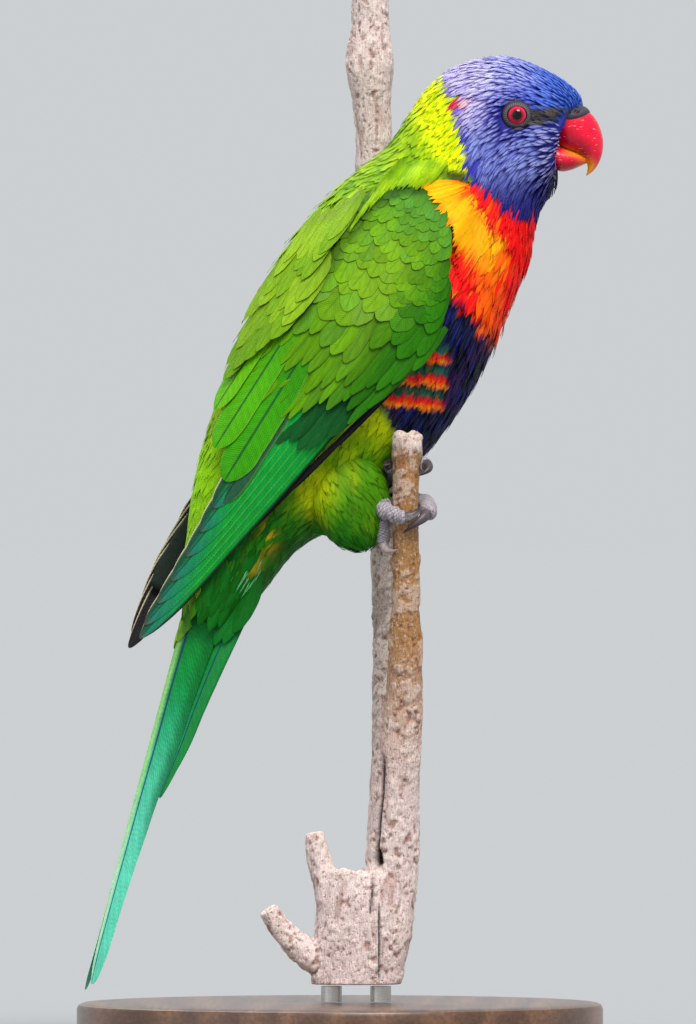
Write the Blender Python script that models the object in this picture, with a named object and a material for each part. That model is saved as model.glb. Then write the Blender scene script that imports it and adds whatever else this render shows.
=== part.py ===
"""A rainbow lorikeet that grips a forked dead branch, held up by a plain display stand.

The frame: +X is the way the bird faces, +Y is its left, +Z is up, and the origin is the middle
of the stand's underside. Every table and size below is in millimetres; only `to_mesh` turns
them into Blender's metres.
"""

import bmesh
import bpy
import numpy as np
from mathutils import Matrix, Vector

MM = 0.001
GAP = 0.3  # clear space between pieces that meet

# ---------------------------------------------------------------- driving dimensions
STAND_RADIUS = 75.0
STAND_HEIGHT = 12.0
STAND_EDGE = 1.5
ROD_RADIUS = 3.0
ROD_OFFSETS = (-7.0, 7.0)  # of the two rods, each side of the branch's middle
BRANCH_FOOT = (4.6, 0.0, 17.1)  # middle of the branch's lower cut end

# Each station of the body: the point on the back (X, Z), the point on the throat or belly
# (X, Z), the half width, and how much narrower the belly side is than the back side.
BODY_STATIONS = np.array([
    # back X, back Z, belly X, belly Z, half width, pinch
    [69.7, 267.6, 62.3, 249.3, 7.2, 0.00],   # 0 root of the bill
    [67.2, 272.2, 60.9, 245.8, 10.8, 0.00],  # 1 forehead
    [59.4, 277.4, 58.7, 241.2, 14.4, 0.02],  # 2 brow
    [47.9, 281.4, 56.4, 237.1, 16.6, 0.05],  # 3 crown
    [36.8, 280.2, 55.3, 233.1, 17.3, 0.06],  # 4 hind crown
    [27.4, 275.0, 54.4, 228.6, 17.2, 0.05],  # 5 nape
    [20.2, 266.0, 53.6, 223.7, 17.8, 0.03],  # 6 hind neck
    [13.4, 256.2, 51.4, 217.4, 20.3, 0.02],  # 7 root of the neck
    [2.3, 247.0, 47.6, 208.3, 23.6, 0.02],   # 8 shoulders
    [-10.5, 233.4, 43.0, 197.5, 26.0, 0.05], # 9 breast
    [-21.9, 215.8, 36.2, 184.4, 26.5, 0.16], # 10 middle of the back
    [-30.4, 196.7, 26.0, 170.4, 25.0, 0.26], # 11 belly
    [-36.8, 178.1, 12.6, 157.2, 21.2, 0.18], # 12 flanks
    [-41.0, 162.3, -1.6, 147.6, 17.0, 0.05], # 13 rump
    [-43.3, 146.8, -13.0, 140.6, 13.2, 0.0], # 14 vent
    [-44.6, 132.4, -21.6, 128.8, 10.4, 0.0], # 15 under-tail
    [-45.3, 119.6, -29.2, 115.4, 8.6, 0.0],  # 16 tail coverts' end
])
BODY_ROUNDNESS = 2.15  # 2 is an ellipse, more is squarer
HEAD_END, NECK_END, BODY_END = 5.0, 7.4, 16.0
BODY_SIDES = 22

# The folded wing is a sheet seen from the side: distance from the bend towards the wing's tip,
# then the sheet's upper and lower edge either side of that line.
WING_BEND = np.array([25.7, 236.6])
WING_TIP = np.array([-57.6, 115.7])
WING_KNOTS = np.array([-4.0, 4.0, 14.0, 24.0, 36.0, 50.0, 64.0, 78.0, 90.0, 98.0])
WING_UPPER = np.array([6.0, 17.5, 23.2, 25.5, 26.5, 25.8, 23.6, 20.2, 14.0, 8.0])
WING_LOWER = np.array([-1.0, -8.5, -15.0, -19.8, -23.4, -21.2, -16.6, -13.2, -11.8, -11.2])
# How far out the sheet lies, as part of an ellipse: half width, middle, half depth.
SHEET_KNOTS = np.array([-6.0, 8.0, 24.0, 42.0, 60.0, 78.0, 94.0, 108.0, 126.0, 148.0])
SHEET_OUT = np.array([24.5, 28.0, 30.4, 31.2, 30.4, 27.6, 23.2, 18.6, 13.2, 9.0])
SHEET_MIDDLE = np.array([-5.5, -4.5, -4.3, -5.5, -7.2, -8.2, -8.0, -7.5, -6.0, -3.0])
SHEET_DEPTH = np.array([30.0, 34.0, 36.8, 37.2, 35.4, 32.0, 28.0, 26.0, 25.0, 24.0])
WING_THICK, WING_EDGE_THICK = 3.0, 0.8
# The blade of long wing feathers that reaches past the folded wing.
BLADE_KNOTS = np.array([84.0, 92.0, 102.0, 112.0, 122.0, 134.0, 143.0, 150.0])
BLADE_UPPER = np.array([3.0, 5.0, 6.6, 5.8, 4.8, 3.4, 2.2, 1.4])
BLADE_LOWER = np.array([-13.4, -13.0, -11.2, -8.6, -5.6, -2.6, -0.9, 0.4])
BLADE_THICK, BLADE_EDGE_THICK = 1.5, 0.6
BLADE_UNDER = 3.3  # how far the blade lies inside the folded wing's outer face
# The far wing is drawn a little further up, and its blade is held further from the tail.
LEFT_WING_DRAWN_UP, LEFT_WING_LIFT = 4.0, 3.4

# The tail is a tent: its ridge runs along one straight line, its sides slope down from that.
TAIL_ROOT = np.array([-45.8, 119.0])
TAIL_TIP = np.array([-73.0, 15.9])
TAIL_KNOTS = np.array([0.0, 10.0, 22.0, 31.0, 42.0, 51.0, 60.0, 74.0, 86.0, 98.0, 104.0, 106.6])
TAIL_DEEP = np.array([15.6, 13.8, 12.0, 11.0, 9.2, 7.8, 7.2, 5.8, 5.0, 3.9, 3.0, 1.6])
TAIL_HALF = np.array([8.6, 8.2, 7.6, 7.1, 6.4, 5.9, 5.4, 4.6, 3.9, 3.0, 2.2, 1.0])
TAIL_THICK = 1.8

THIGH_MIDDLE = (3.0, 13.4, 155.8)
THIGH_RADII = (11.2, 8.0, 14.2)
THIGH_LEAN = 14.0  # degrees, lower end forward

EYE_MIDDLE = (50.3, 14.0, 264.6)
EYE_RADIUS = 3.6

# The bill: points on its upper and lower outline (X, Z) with the half width between them.
UPPER_BILL = np.array([
    [66.0, 267.6, 60.5, 260.5, 6.2],
    [71.4, 265.6, 63.2, 256.0, 6.3],
    [73.6, 262.6, 65.8, 255.0, 5.7],
    [74.9, 258.6, 68.2, 253.9, 4.8],
    [74.8, 254.8, 69.9, 252.4, 3.6],
    [73.8, 251.6, 70.6, 250.9, 2.4],
    [72.2, 249.2, 70.5, 249.3, 1.3],
    [70.4, 247.7, 70.0, 247.6, 0.35],
])
LOWER_BILL = np.array([
    [61.5, 255.4, 61.5, 249.6, 5.2],
    [63.4, 255.0, 63.2, 249.2, 5.1],
    [65.8, 254.2, 65.8, 249.8, 4.5],
    [68.0, 252.9, 68.0, 250.8, 3.3],
    [69.6, 251.6, 69.5, 251.0, 1.6],
])
BILL_SIDES = 14

# The branch: paths of its parts, each point with its radius, from the bottom up.
STUB_PATH = np.array([
    [15.2, 0.0, 50.9, 7.3], [15.6, -1.4, 64.0, 7.1], [17.0, -4.6, 82.0, 6.2], [18.4, -8.4, 103.0, 5.4],
    [18.6, -12.0, 124.0, 4.2], [18.7, -15.4, 145.0, 3.75], [18.9, -17.3, 160.0, 3.8],
    [19.0, -18.5, 170.0, 4.1], [18.9, -18.9, 174.4, 3.6],
])
STEM_PATH = np.array([
    [13.5, 4.0, 50.9, 6.2], [14.0, 6.8, 66.0, 5.9], [14.6, 12.6, 84.0, 5.6],
    [14.8, 21.0, 104.0, 5.3], [14.4, 30.5, 126.0, 5.2], [13.6, 37.4, 150.0, 5.1],
    [12.4, 39.6, 176.0, 5.2], [11.4, 39.6, 208.0, 5.3], [10.2, 39.4, 242.0, 5.4],
    [9.2, 39.2, 268.0, 5.6], [8.4, 39.0, 281.0, 7.2], [8.6, 39.0, 290.0, 5.5],
    [8.6, 39.0, 302.0, 5.2],
])
FORK_PATH = np.array([  # X, Y, Z, half width, half depth
    [4.6, 0.0, 17.1, 13.0, 8.6], [5.4, 0.0, 26.0, 13.3, 9.2], [6.7, 0.4, 36.0, 13.9, 10.0],
    [7.4, 0.8, 45.0, 14.6, 10.4], [7.6, 1.2, 50.6, 14.2, 10.2],
])
UPPER_FINGER = np.array([[-3.4, -1.0, 44.0, 4.0], [-5.2, -1.4, 52.0, 3.5], [-7.4, -1.8, 59.8, 1.7]])
LOWER_FINGER = np.array([[-3.6, -0.6, 21.8, 4.7], [-12.4, -1.8, 31.4, 3.5], [-20.4, -2.8, 39.2, 2.0]])

STUB_WOBBLE = 0.012
BARK = (0.55, 0.46, 0.40)

# The feet grip the stub. A toe winds from one bearing round the stub to another; bearings are
# in degrees, 0 is forward and 90 is the bird's left. `falls` is how far it drops on the way.
TOE_RADIUS, TOE_END_RADIUS, CLAW_RADIUS = 2.2, 1.7, 1.25
PALM_RADIUS = 2.9
RIGHT_ANKLE, LEFT_ANKLE = (6.0, -15.0, 150.8), (11.0, -2.0, 160.0)
RIGHT_GRIP, LEFT_GRIP = 153.0, 164.0
RIGHT_PALM, LEFT_PALM = 180.0, 105.0  # bearing of each palm
TOE_SIZES = {"inner": 1.0, "outer": 1.2}
# Each toe: bearings at the palm, half way, at the toe's end and at the claw's end, then the
# heights there above the grip.
RIGHT_TOES = (
    ("inner", (180.0, 224.0, 268.0, 335.0), (0.2, -1.2, -2.6, 0.6)),
    ("outer", (180.0, 75.0, -22.0, -96.0), (0.2, 2.0, -1.2, -6.8)),
)
LEFT_TOES = (
    ("inner", (105.0, 126.0, 142.0, 180.0), (0.0, 0.6, 1.2, 1.6)),
    ("outer", (105.0, 62.0, 22.0, -32.0), (0.0, 0.8, 1.2, -1.8)),
)
# The hind toe hangs down beside the stub: the toe's length, then its claw's.
RIGHT_HIND_TOE, LEFT_HIND_TOE = (9.5, 5.0), (4.6, 3.2)


# ---------------------------------------------------------------- curves
def curve_through(knots, values, at):
    """A smooth curve through values at knots: each stretch is a cubic whose end slopes are the
    mean slopes of its neighbours."""
    values = np.asarray(values, float)
    slopes = np.gradient(values, knots, axis=0)
    at = np.clip(np.asarray(at, float), knots[0], knots[-1])
    i = np.clip(np.searchsorted(knots, at, side="right") - 1, 0, len(knots) - 2)
    step = knots[i + 1] - knots[i]
    u = (at - knots[i]) / step
    if values.ndim > 1:
        u, step = u[..., None], step[..., None]
    return (values[i] * (1 + 2 * u) * (1 - u) ** 2 + values[i + 1] * u * u * (3 - 2 * u)
            + step * (slopes[i] * u * (1 - u) ** 2 - slopes[i + 1] * u * u * (1 - u)))


def refine(path, count):
    """count points of the smooth curve through a path's points, spread evenly by length."""
    steps = np.linalg.norm(np.diff(path[:, :3], axis=0), axis=1)
    along = np.concatenate([[0.0], np.cumsum(steps)])
    return curve_through(along, path, np.linspace(0, along[-1], count))


def rounded(angle, roundness=BODY_ROUNDNESS):
    """Cosine and sine of a squared-off circle: each is raised to the power 2 / roundness."""
    c, s = np.cos(angle), np.sin(angle)
    power = 2 / roundness
    return np.sign(c) * np.abs(c) ** power, np.sign(s) * np.abs(s) ** power


# ---------------------------------------------------------------- solids
def to_mesh(name, points, faces, colour, roughness=0.6, helper=False):
    """An object from points in millimetres and its faces, turned to face outwards."""
    mesh = bpy.data.meshes.new(name)
    mesh.from_pydata((np.asarray(points, float) * MM).tolist(), [], faces)
    work = bmesh.new()
    work.from_mesh(mesh)
    bmesh.ops.recalc_face_normals(work, faces=work.faces)
    work.to_mesh(mesh)
    work.free()
    mesh.shade_smooth()
    obj = bpy.data.objects.new(name, mesh)
    bpy.context.scene.collection.objects.link(obj)
    if helper:
        obj.hide_render = True
        obj.display_type = "WIRE"
    else:
        mesh.materials.append(material(name, colour, roughness))
    return obj


def material(name, colour, roughness):
    made = bpy.data.materials.new(name)
    made.use_nodes = True
    shader = made.node_tree.nodes["Principled BSDF"]
    shader.inputs["Base Color"].default_value = (*colour, 1.0)
    shader.inputs["Roughness"].default_value = roughness
    shader.inputs["Metallic"].default_value = 0.0
    return made


def skin_rings(rings):
    """Points and faces of a closed solid over rings of points, with a flat cap at each end."""
    count, sides = rings.shape[:2]
    here = np.arange(sides)
    after = (here + 1) % sides
    faces = [
        (int(r * sides + a), int(r * sides + b), int((r + 1) * sides + b), int((r + 1) * sides + a))
        for r in range(count - 1)
        for a, b in zip(here, after)
    ]
    faces.append(tuple(range(sides)))
    faces.append(tuple(range((count - 1) * sides, count * sides)))
    return rings.reshape(-1, 3), faces


def skin_plate(outer, inner):
    """Points and faces of a closed plate between two grids of points of the same size."""
    rows, columns = outer.shape[:2]
    index = np.arange(rows * columns).reshape(rows, columns)
    below = index + rows * columns
    faces = []
    for r in range(rows - 1):
        for c in range(columns - 1):
            faces.append((index[r, c], index[r, c + 1], index[r + 1, c + 1], index[r + 1, c]))
            faces.append((below[r, c], below[r + 1, c], below[r + 1, c + 1], below[r, c + 1]))
    rim = np.concatenate([index[0, :-1], index[:-1, -1], index[-1, :0:-1], index[:0:-1, 0]])
    for a, b in zip(rim, np.roll(rim, -1)):
        faces.append((a, b, b + rows * columns, a + rows * columns))
    points = np.concatenate([outer.reshape(-1, 3), inner.reshape(-1, 3)])
    return points, [tuple(int(i) for i in face) for face in faces]


def tube_rings(path, radii, sides):
    """Rings of points round a path, square to it."""
    ahead = np.gradient(path, axis=0)
    ahead /= np.linalg.norm(ahead, axis=1, keepdims=True)
    first = np.cross(ahead, (0.0, 1.0, 0.0))
    flat = np.linalg.norm(first, axis=1) < 0.3
    first[flat] = np.cross(ahead[flat], (1.0, 0.0, 0.0))
    first /= np.linalg.norm(first, axis=1, keepdims=True)
    second = np.cross(ahead, first)
    turn = np.linspace(0, 2 * np.pi, sides, endpoint=False)
    return (path[:, None]
            + first[:, None] * (np.cos(turn) * radii[:, None])[..., None]
            + second[:, None] * (np.sin(turn) * radii[:, None])[..., None])


def level_rings(path, half_width, half_depth, sides, wobble):
    """Level rings up a leaning stem, as saw cuts would show them. wobble makes the stem swell and
    shrink round and along it, as wood does."""
    lean = np.gradient(path[:, :2], path[:, 2], axis=0)
    stretch = np.sqrt(1 + lean ** 2)
    turn = np.linspace(0, 2 * np.pi, sides, endpoint=False)
    swell = 1 + wobble * (np.sin(3 * turn + path[:, 2:] * 0.11) + np.sin(2 * turn - path[:, 2:] * 0.23))
    x = path[:, 0:1] + np.cos(turn) * (half_width * stretch[:, 0])[:, None] * swell
    y = path[:, 1:2] + np.sin(turn) * (half_depth * stretch[:, 1])[:, None] * swell
    return np.stack([x, y, np.broadcast_to(path[:, 2:3], x.shape)], axis=-1)


def cut(obj, cutter, operation="DIFFERENCE"):
    step = obj.modifiers.new(f"{operation.lower()}_{cutter.name}", "BOOLEAN")
    step.operation = operation
    step.solver = "EXACT"
    step.object = cutter


# ---------------------------------------------------------------- body
def body_point(t, turn, more=0.0):
    """A point of the body at station t and bearing turn: 0 is the back, 90 degrees the right
    side and 180 degrees the belly. more moves it outwards."""
    knots = np.arange(len(BODY_STATIONS))
    at = curve_through(knots, BODY_STATIONS, t)
    back, belly, half, pinch = at[..., 0:2], at[..., 2:4], at[..., 4], at[..., 5]
    middle, up = (back + belly) / 2, (back - belly) / 2
    up = up * (1 + more / np.linalg.norm(up, axis=-1, keepdims=True))
    c, s = rounded(turn)
    flat = middle + up * c[..., None]
    side = -(half + more) * s * (1 - pinch * np.clip(-c, 0, 1))
    return np.stack([flat[..., 0], side, flat[..., 1]], axis=-1)


def body_rings(start, end, count, more=0.0):
    t, turn = np.meshgrid(np.linspace(start, end, count),
                          np.linspace(0, 2 * np.pi, BODY_SIDES, endpoint=False), indexing="ij")
    return body_point(t, turn, more)


def body_part(name, start, end, count, colour):
    return to_mesh(name, *skin_rings(body_rings(start, end, count)), colour)


def ellipsoid(name, middle, radii, lean=0.0, more=0.0, colour=(0.3, 0.5, 0.1), helper=False,
              segments=16, roughness=0.6):
    """A ball stretched to three radii, leaned about the Y axis."""
    work = bmesh.new()
    bmesh.ops.create_uvsphere(work, u_segments=segments, v_segments=segments // 2, radius=1.0)
    turn = Matrix.Rotation(np.radians(-lean), 4, "Y")
    size = Matrix.Diagonal((*(r + more for r in radii), 1.0))
    place = Matrix.Translation(Vector(middle)) @ turn @ size
    points = [place @ v.co for v in work.verts]
    faces = [tuple(v.index for v in f.verts) for f in work.faces]
    work.free()
    return to_mesh(name, points, faces, colour, roughness, helper)


def paired_rings(outline, more=0.0):
    """Rings between pairs of outline points, as in a bill: each ring is an ellipse that spans
    its two points and has the row's half width."""
    turn = np.linspace(0, 2 * np.pi, BILL_SIDES, endpoint=False)
    top, bottom, half = outline[:, 0:2], outline[:, 2:4], outline[:, 4]
    middle, up = (top + bottom) / 2, (top - bottom) / 2
    length = np.linalg.norm(up, axis=1, keepdims=True)
    up = up * (1 + more / length)
    flat = middle[:, None] + up[:, None] * np.cos(turn)[None, :, None]
    side = -(half + more)[:, None] * np.sin(turn)[None]
    return np.stack([flat[..., 0], side, flat[..., 1]], axis=-1)


def bill_part(name, outline, colour, count, more=0.0, helper=False):
    knots = np.arange(len(outline))
    fine = curve_through(knots, outline, np.linspace(0, knots[-1], count))
    return to_mesh(name, *skin_rings(paired_rings(fine, more)), colour, 0.35, helper)


# ---------------------------------------------------------------- wings and tail
def wing_place(along, across, side):
    """The point (X, Z) of the folded wing's plan at a distance along it and across it."""
    if side > 0:
        across = across + LEFT_WING_LIFT * np.clip((along - 50) / 60, 0, 1)
        along = along - LEFT_WING_DRAWN_UP
    axis = (WING_TIP - WING_BEND) / np.linalg.norm(WING_TIP - WING_BEND)
    upward = np.array([axis[1], -axis[0]])
    return WING_BEND + along[..., None] * axis + across[..., None] * upward


def wing_out(along, across):
    """How far from the middle plane the folded wing's outer face lies."""
    out = curve_through(SHEET_KNOTS, SHEET_OUT, along)
    middle = curve_through(SHEET_KNOTS, SHEET_MIDDLE, along)
    depth = curve_through(SHEET_KNOTS, SHEET_DEPTH, along)
    return out * np.sqrt(np.clip(1 - ((across - middle) / depth) ** 2, 0.02, 1))


def wing_plate(name, knots, upper, lower, size, thick, edge, under, side, colour):
    """A curved plate between the wing's outer face, moved in by `under`, and an inner face. It is
    thickest along its middle. side is -1 on the bird's right and 1 on its left."""
    rows, columns = size
    along = np.linspace(knots[0], knots[-1], rows)
    share = np.linspace(0, 1, columns)
    top, bottom = curve_through(knots, upper, along), curve_through(knots, lower, along)
    across = top[:, None] * (1 - share) + bottom[:, None] * share
    along = np.broadcast_to(along[:, None], across.shape)
    fullness = np.sqrt(np.clip(np.sin(np.pi * share), 0, 1))[None] * np.ones((rows, 1))
    fullness[[0, -1]] = 0
    wall = edge + (thick - edge) * fullness
    face = wing_out(along, across) - under
    plan = wing_place(along, across, side)
    outer = np.stack([plan[..., 0], side * face, plan[..., 1]], axis=-1)
    inner = np.stack([plan[..., 0], side * (face - wall), plan[..., 1]], axis=-1)
    return to_mesh(name, *skin_plate(outer, inner), colour)


def tail_solid():
    """A folded tail: in section a thin tent, whose sides drop further as they leave the ridge."""
    axis = TAIL_TIP - TAIL_ROOT
    axis = axis / np.linalg.norm(axis)
    down = np.array([-axis[1], axis[0]])
    along = np.linspace(0.3, TAIL_KNOTS[-1], 15)
    deep = curve_through(TAIL_KNOTS, TAIL_DEEP, along)[:, None]
    half = curve_through(TAIL_KNOTS, TAIL_HALF, along)[:, None]
    share = np.linspace(-1, 1, 9)
    over = deep * np.abs(share) ** 1.35
    thick = TAIL_THICK * (1 - 0.55 * np.abs(share)) * np.clip(half / 4, 0.4, 1)
    under = (over + thick)[:, ::-1]
    y = np.concatenate([half * share, half * share[::-1] * 0.93], axis=1)
    drop = np.concatenate([over, under], axis=1)
    flat = TAIL_ROOT + along[:, None, None] * axis + drop[..., None] * down
    rings = np.stack([flat[..., 0], y, flat[..., 1]], axis=-1)
    return to_mesh("tail", *skin_rings(rings), (0.05, 0.42, 0.22))


# ---------------------------------------------------------------- feet
def stub_at(height):
    """The stub's middle (X, Y) and radius at a height."""
    at = curve_through(STUB_PATH[:, 2], STUB_PATH, height)
    return at[..., :2], at[..., 3]


def toe_path(grip, bearings, rises, size, count=20):
    """The middle line of a toe and its claw round the stub, the radii along it, and which points
    are the toe's. It leaves the palm's middle and settles on to the stub."""
    bearing = np.linspace(bearings[0], bearings[3], count)
    turned_by = np.abs(bearing - bearings[0])
    knots = np.abs(np.array(bearings) - bearings[0])
    height = grip + curve_through(knots, rises, turned_by)
    is_toe = turned_by <= knots[2]
    toe_share = np.clip(turned_by / knots[2], 0, 1)
    claw_share = np.clip((turned_by - knots[2]) / (knots[3] - knots[2]), 0, 1)
    knuckles = 1 + 0.06 * np.cos(toe_share * 6 * np.pi)
    radius = (TOE_RADIUS + (TOE_END_RADIUS - TOE_RADIUS) * toe_share) * knuckles * size
    radius = np.where(is_toe, radius, CLAW_RADIUS * size * (1 - 0.85 * claw_share))
    middle, stub_radius = stub_at(height)
    near = np.where(is_toe, radius, claw_stand_off(claw_share) * size)
    near = near + (PALM_RADIUS - near) * np.clip(1 - turned_by / 35, 0, 1)
    reach = stub_radius * 1.05 + GAP + near
    angle = np.radians(bearing)
    path = np.stack([middle[:, 0] + reach * np.cos(angle), middle[:, 1] + reach * np.sin(angle), height],
                    axis=1)
    return path, radius, is_toe


def claw_stand_off(share):
    """How far a claw's middle line stands off the bark: it arches, and its tip comes in."""
    return TOE_END_RADIUS * (1 - share) + 0.2 * share + 0.9 * np.sin(share * np.pi)


def tube(name, path, radii, sides, colour, roughness=0.6, helper=False):
    return to_mesh(name, *skin_rings(tube_rings(path, radii, sides)), colour, roughness, helper)


def foot(side, grip, toes, hind, ankle, palm_bearing):
    """One foot: a scaly palm joined to its ankle and toes, and a claw beyond each toe."""
    scale_grey, horn = (0.30, 0.29, 0.31), (0.10, 0.09, 0.09)
    middle, stub_radius = stub_at(np.array(grip))
    angle = np.radians(palm_bearing)
    reach = stub_radius * 1.05 + GAP + PALM_RADIUS
    palm = (middle[0] + reach * np.cos(angle), middle[1] + reach * np.sin(angle), grip)
    made = ellipsoid(f"foot_{side}", palm, (PALM_RADIUS,) * 3, colour=scale_grey, segments=12)
    parts = [tube(f"ankle_{side}", np.linspace(ankle, palm, 4), np.array([2.2, 2.1, 2.2, 2.3]), 10,
                  scale_grey, helper=True)]
    for name, bearings, rises in toes:
        path, radius, is_toe = toe_path(grip, bearings, rises, TOE_SIZES[name])
        parts.append(tube(f"toe_{side}_{name}", path[is_toe], radius[is_toe], 7, scale_grey, helper=True))
        tube(f"claw_{side}_{name}", *beyond(path, radius, is_toe), 6, horn, 0.3)
    path, radius, is_toe = hind_toe(palm, grip, *hind)
    parts.append(tube(f"toe_{side}_hind", path[is_toe], radius[is_toe], 7, scale_grey, helper=True))
    tube(f"claw_{side}_hind", *beyond(path, radius, is_toe), 6, horn, 0.3)
    for part in parts:
        cut(made, part, "UNION")
    return made


def hind_toe(palm, grip, toe_length, claw_length):
    """The hind toe hangs down beside the stub from the palm, and its claw hooks in to the bark."""
    run = np.linspace(0, toe_length + claw_length, 12)
    is_toe = run <= toe_length
    claw_share = np.clip((run - toe_length) / claw_length, 0, 1)
    toe_share = np.clip(run / toe_length, 0, 1)
    radius = np.where(is_toe, TOE_RADIUS - 0.4 * toe_share, CLAW_RADIUS * (1 - 0.85 * claw_share))
    height = palm[2] - run + 0.9 * claw_share ** 2
    middle, stub_radius = stub_at(height)
    outward = np.array(palm[:2]) - stub_at(np.array(grip))[0]
    outward = outward / np.linalg.norm(outward)
    start = np.linalg.norm(np.array(palm[:2]) - stub_at(np.array(grip))[0])
    near = stub_radius * 1.05 + GAP + np.where(is_toe, radius, claw_stand_off(claw_share))
    reach = near + (start - near) * np.clip(1 - run / toe_length, 0, 1)
    path = np.concatenate([middle + outward * reach[:, None], height[:, None]], axis=1)
    return path, radius, is_toe


def beyond(path, radius, is_toe):
    """A claw's path and radii, starting a clear gap past the end of its toe."""
    last = np.flatnonzero(is_toe)[-1]
    ahead = (path[last + 1] - path[last]) / np.linalg.norm(path[last + 1] - path[last])
    clear = ~is_toe & (np.linalg.norm(path - path[last], axis=1) > 3 * GAP)
    claw = np.concatenate([[path[last] + ahead * 2 * GAP], path[clear]])
    return claw, np.concatenate([[radius[~is_toe].max()], radius[clear]])


# ---------------------------------------------------------------- branch and stand
def stem_part(name, path, count, sides, wobble=0.03, more=0.0, helper=False):
    """A piece of branch with level ends; its rows are X, Y, Z, half width and perhaps half depth."""
    fine = refine(path, count)
    rings = level_rings(fine[:, :3], fine[:, 3] + more, fine[:, -1] + more, sides, wobble)
    return to_mesh(name, *skin_rings(rings), BARK, 0.9, helper)


def build_branch():
    fork = stem_part("perch_fork", FORK_PATH, 9, 20)
    for name, path in (("upper", UPPER_FINGER), ("lower", LOWER_FINGER)):
        fine = refine(path, 5)
        cut(fork, tube(f"finger_{name}", fine[:, :3], fine[:, 3], 10, BARK, 0.9, True), "UNION")
    stem_part("perch_stub", STUB_PATH, 18, 12, STUB_WOBBLE)
    stem_low = stem_part("perch_stem_low", STEM_PATH[:7], 12, 12)
    upper = STEM_PATH[6:].copy()
    upper[0, 2] += GAP
    stem_part("perch_stem_high", upper, 12, 12)
    # The stub and the stem grow out of the fork side by side: the stem is trimmed clear of the stub.
    cut(stem_low, stem_part("stub_room", STUB_PATH, 18, 12, STUB_WOBBLE, GAP, helper=True))


def build_stand():
    """A round base with a softened rim, and two short rods up to the branch's cut end."""
    wood = (0.12, 0.10, 0.09)
    turn = np.linspace(0, 2 * np.pi, 48, endpoint=False)
    profile = ((STAND_RADIUS - STAND_EDGE, 0.0), (STAND_RADIUS, STAND_EDGE),
               (STAND_RADIUS, STAND_HEIGHT - STAND_EDGE), (STAND_RADIUS - STAND_EDGE, STAND_HEIGHT))
    rings = np.array([[(r * np.cos(a), r * np.sin(a), z) for a in turn] for r, z in profile])
    to_mesh("stand_base", *skin_rings(rings), wood, 0.4)
    for name, offset in zip(("a", "b"), ROD_OFFSETS):
        path = np.array([[BRANCH_FOOT[0] + offset, BRANCH_FOOT[1], z]
                         for z in (STAND_HEIGHT + GAP, BRANCH_FOOT[2] - GAP)])
        tube(f"stand_rod_{name}", path, np.full(2, ROD_RADIUS), 20, (0.6, 0.58, 0.55), 0.3)


# ---------------------------------------------------------------- the whole
def build_head():
    red = (0.75, 0.04, 0.03)
    head = body_part("head", 0.0, HEAD_END, 12, (0.10, 0.12, 0.42))
    bill_part("bill_upper", UPPER_BILL, red, 12)
    bill_part("bill_lower", LOWER_BILL, red, 7)
    cut(head, bill_part("bill_room_upper", UPPER_BILL, red, 12, GAP, helper=True))
    cut(head, bill_part("bill_room_lower", LOWER_BILL, red, 7, GAP, helper=True))
    for side, y in (("right", -1), ("left", 1)):
        middle = (EYE_MIDDLE[0], y * EYE_MIDDLE[1], EYE_MIDDLE[2])
        ellipsoid(f"eye_{side}", middle, (EYE_RADIUS,) * 3, colour=(0.35, 0.02, 0.03),
                  segments=14, roughness=0.1)
        cut(head, ellipsoid(f"eye_room_{side}", middle, (EYE_RADIUS + GAP,) * 3, segments=14, helper=True))


def build_body():
    body_part("neck", HEAD_END + 0.08, NECK_END, 6, (0.45, 0.60, 0.08))
    trunk = body_part("trunk", NECK_END + 0.06, BODY_END, 18, (0.55, 0.30, 0.08))
    room = to_mesh("trunk_room", *skin_rings(body_rings(6.0, BODY_END, 24, GAP)), (0, 0, 0), helper=True)
    thigh_rooms = []
    for side, y in (("right", -1), ("left", 1)):
        middle = (THIGH_MIDDLE[0], y * THIGH_MIDDLE[1], THIGH_MIDDLE[2])
        ellipsoid(f"thigh_{side}", middle, THIGH_RADII, THIGH_LEAN)
        thigh_rooms.append(
            ellipsoid(f"thigh_room_{side}", middle, THIGH_RADII, THIGH_LEAN, GAP, helper=True))
        cut(trunk, thigh_rooms[-1])
    for side, y in (("right", -1), ("left", 1)):
        green = (0.10, 0.45, 0.04)
        wing = wing_plate(f"wing_{side}", WING_KNOTS, WING_UPPER, WING_LOWER, (15, 9), WING_THICK,
                          WING_EDGE_THICK, 0.0, y, green)
        cut(wing, room)
        blade = wing_plate(f"primaries_{side}", BLADE_KNOTS, BLADE_UPPER, BLADE_LOWER, (12, 5),
                           BLADE_THICK, BLADE_EDGE_THICK, BLADE_UNDER, y, (0.04, 0.30, 0.12))
        cut(blade, room)
    tail_solid()
    return [room, *thigh_rooms]


def main():
    for obj in list(bpy.data.objects):
        bpy.data.objects.remove(obj)
    build_stand()
    build_branch()
    build_head()
    rooms = build_body()
    feet = (foot("right", RIGHT_GRIP, RIGHT_TOES, RIGHT_HIND_TOE, RIGHT_ANKLE, RIGHT_PALM),
            foot("left", LEFT_GRIP, LEFT_TOES, LEFT_HIND_TOE, LEFT_ANKLE, LEFT_PALM))
    for made in feet:
        for room in rooms:
            cut(made, room)


main()
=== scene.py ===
# %% [markdown]
# # A rainbow lorikeet on a cut branch, feather by feather
# The bird is a still display model. Its solids give the exact places and sizes. This lesson lays
# a finer surface over them: one skin, thousands of thin closed feathers, a glossy eye, a horn
# bill, scaly feet, and bark.

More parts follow.
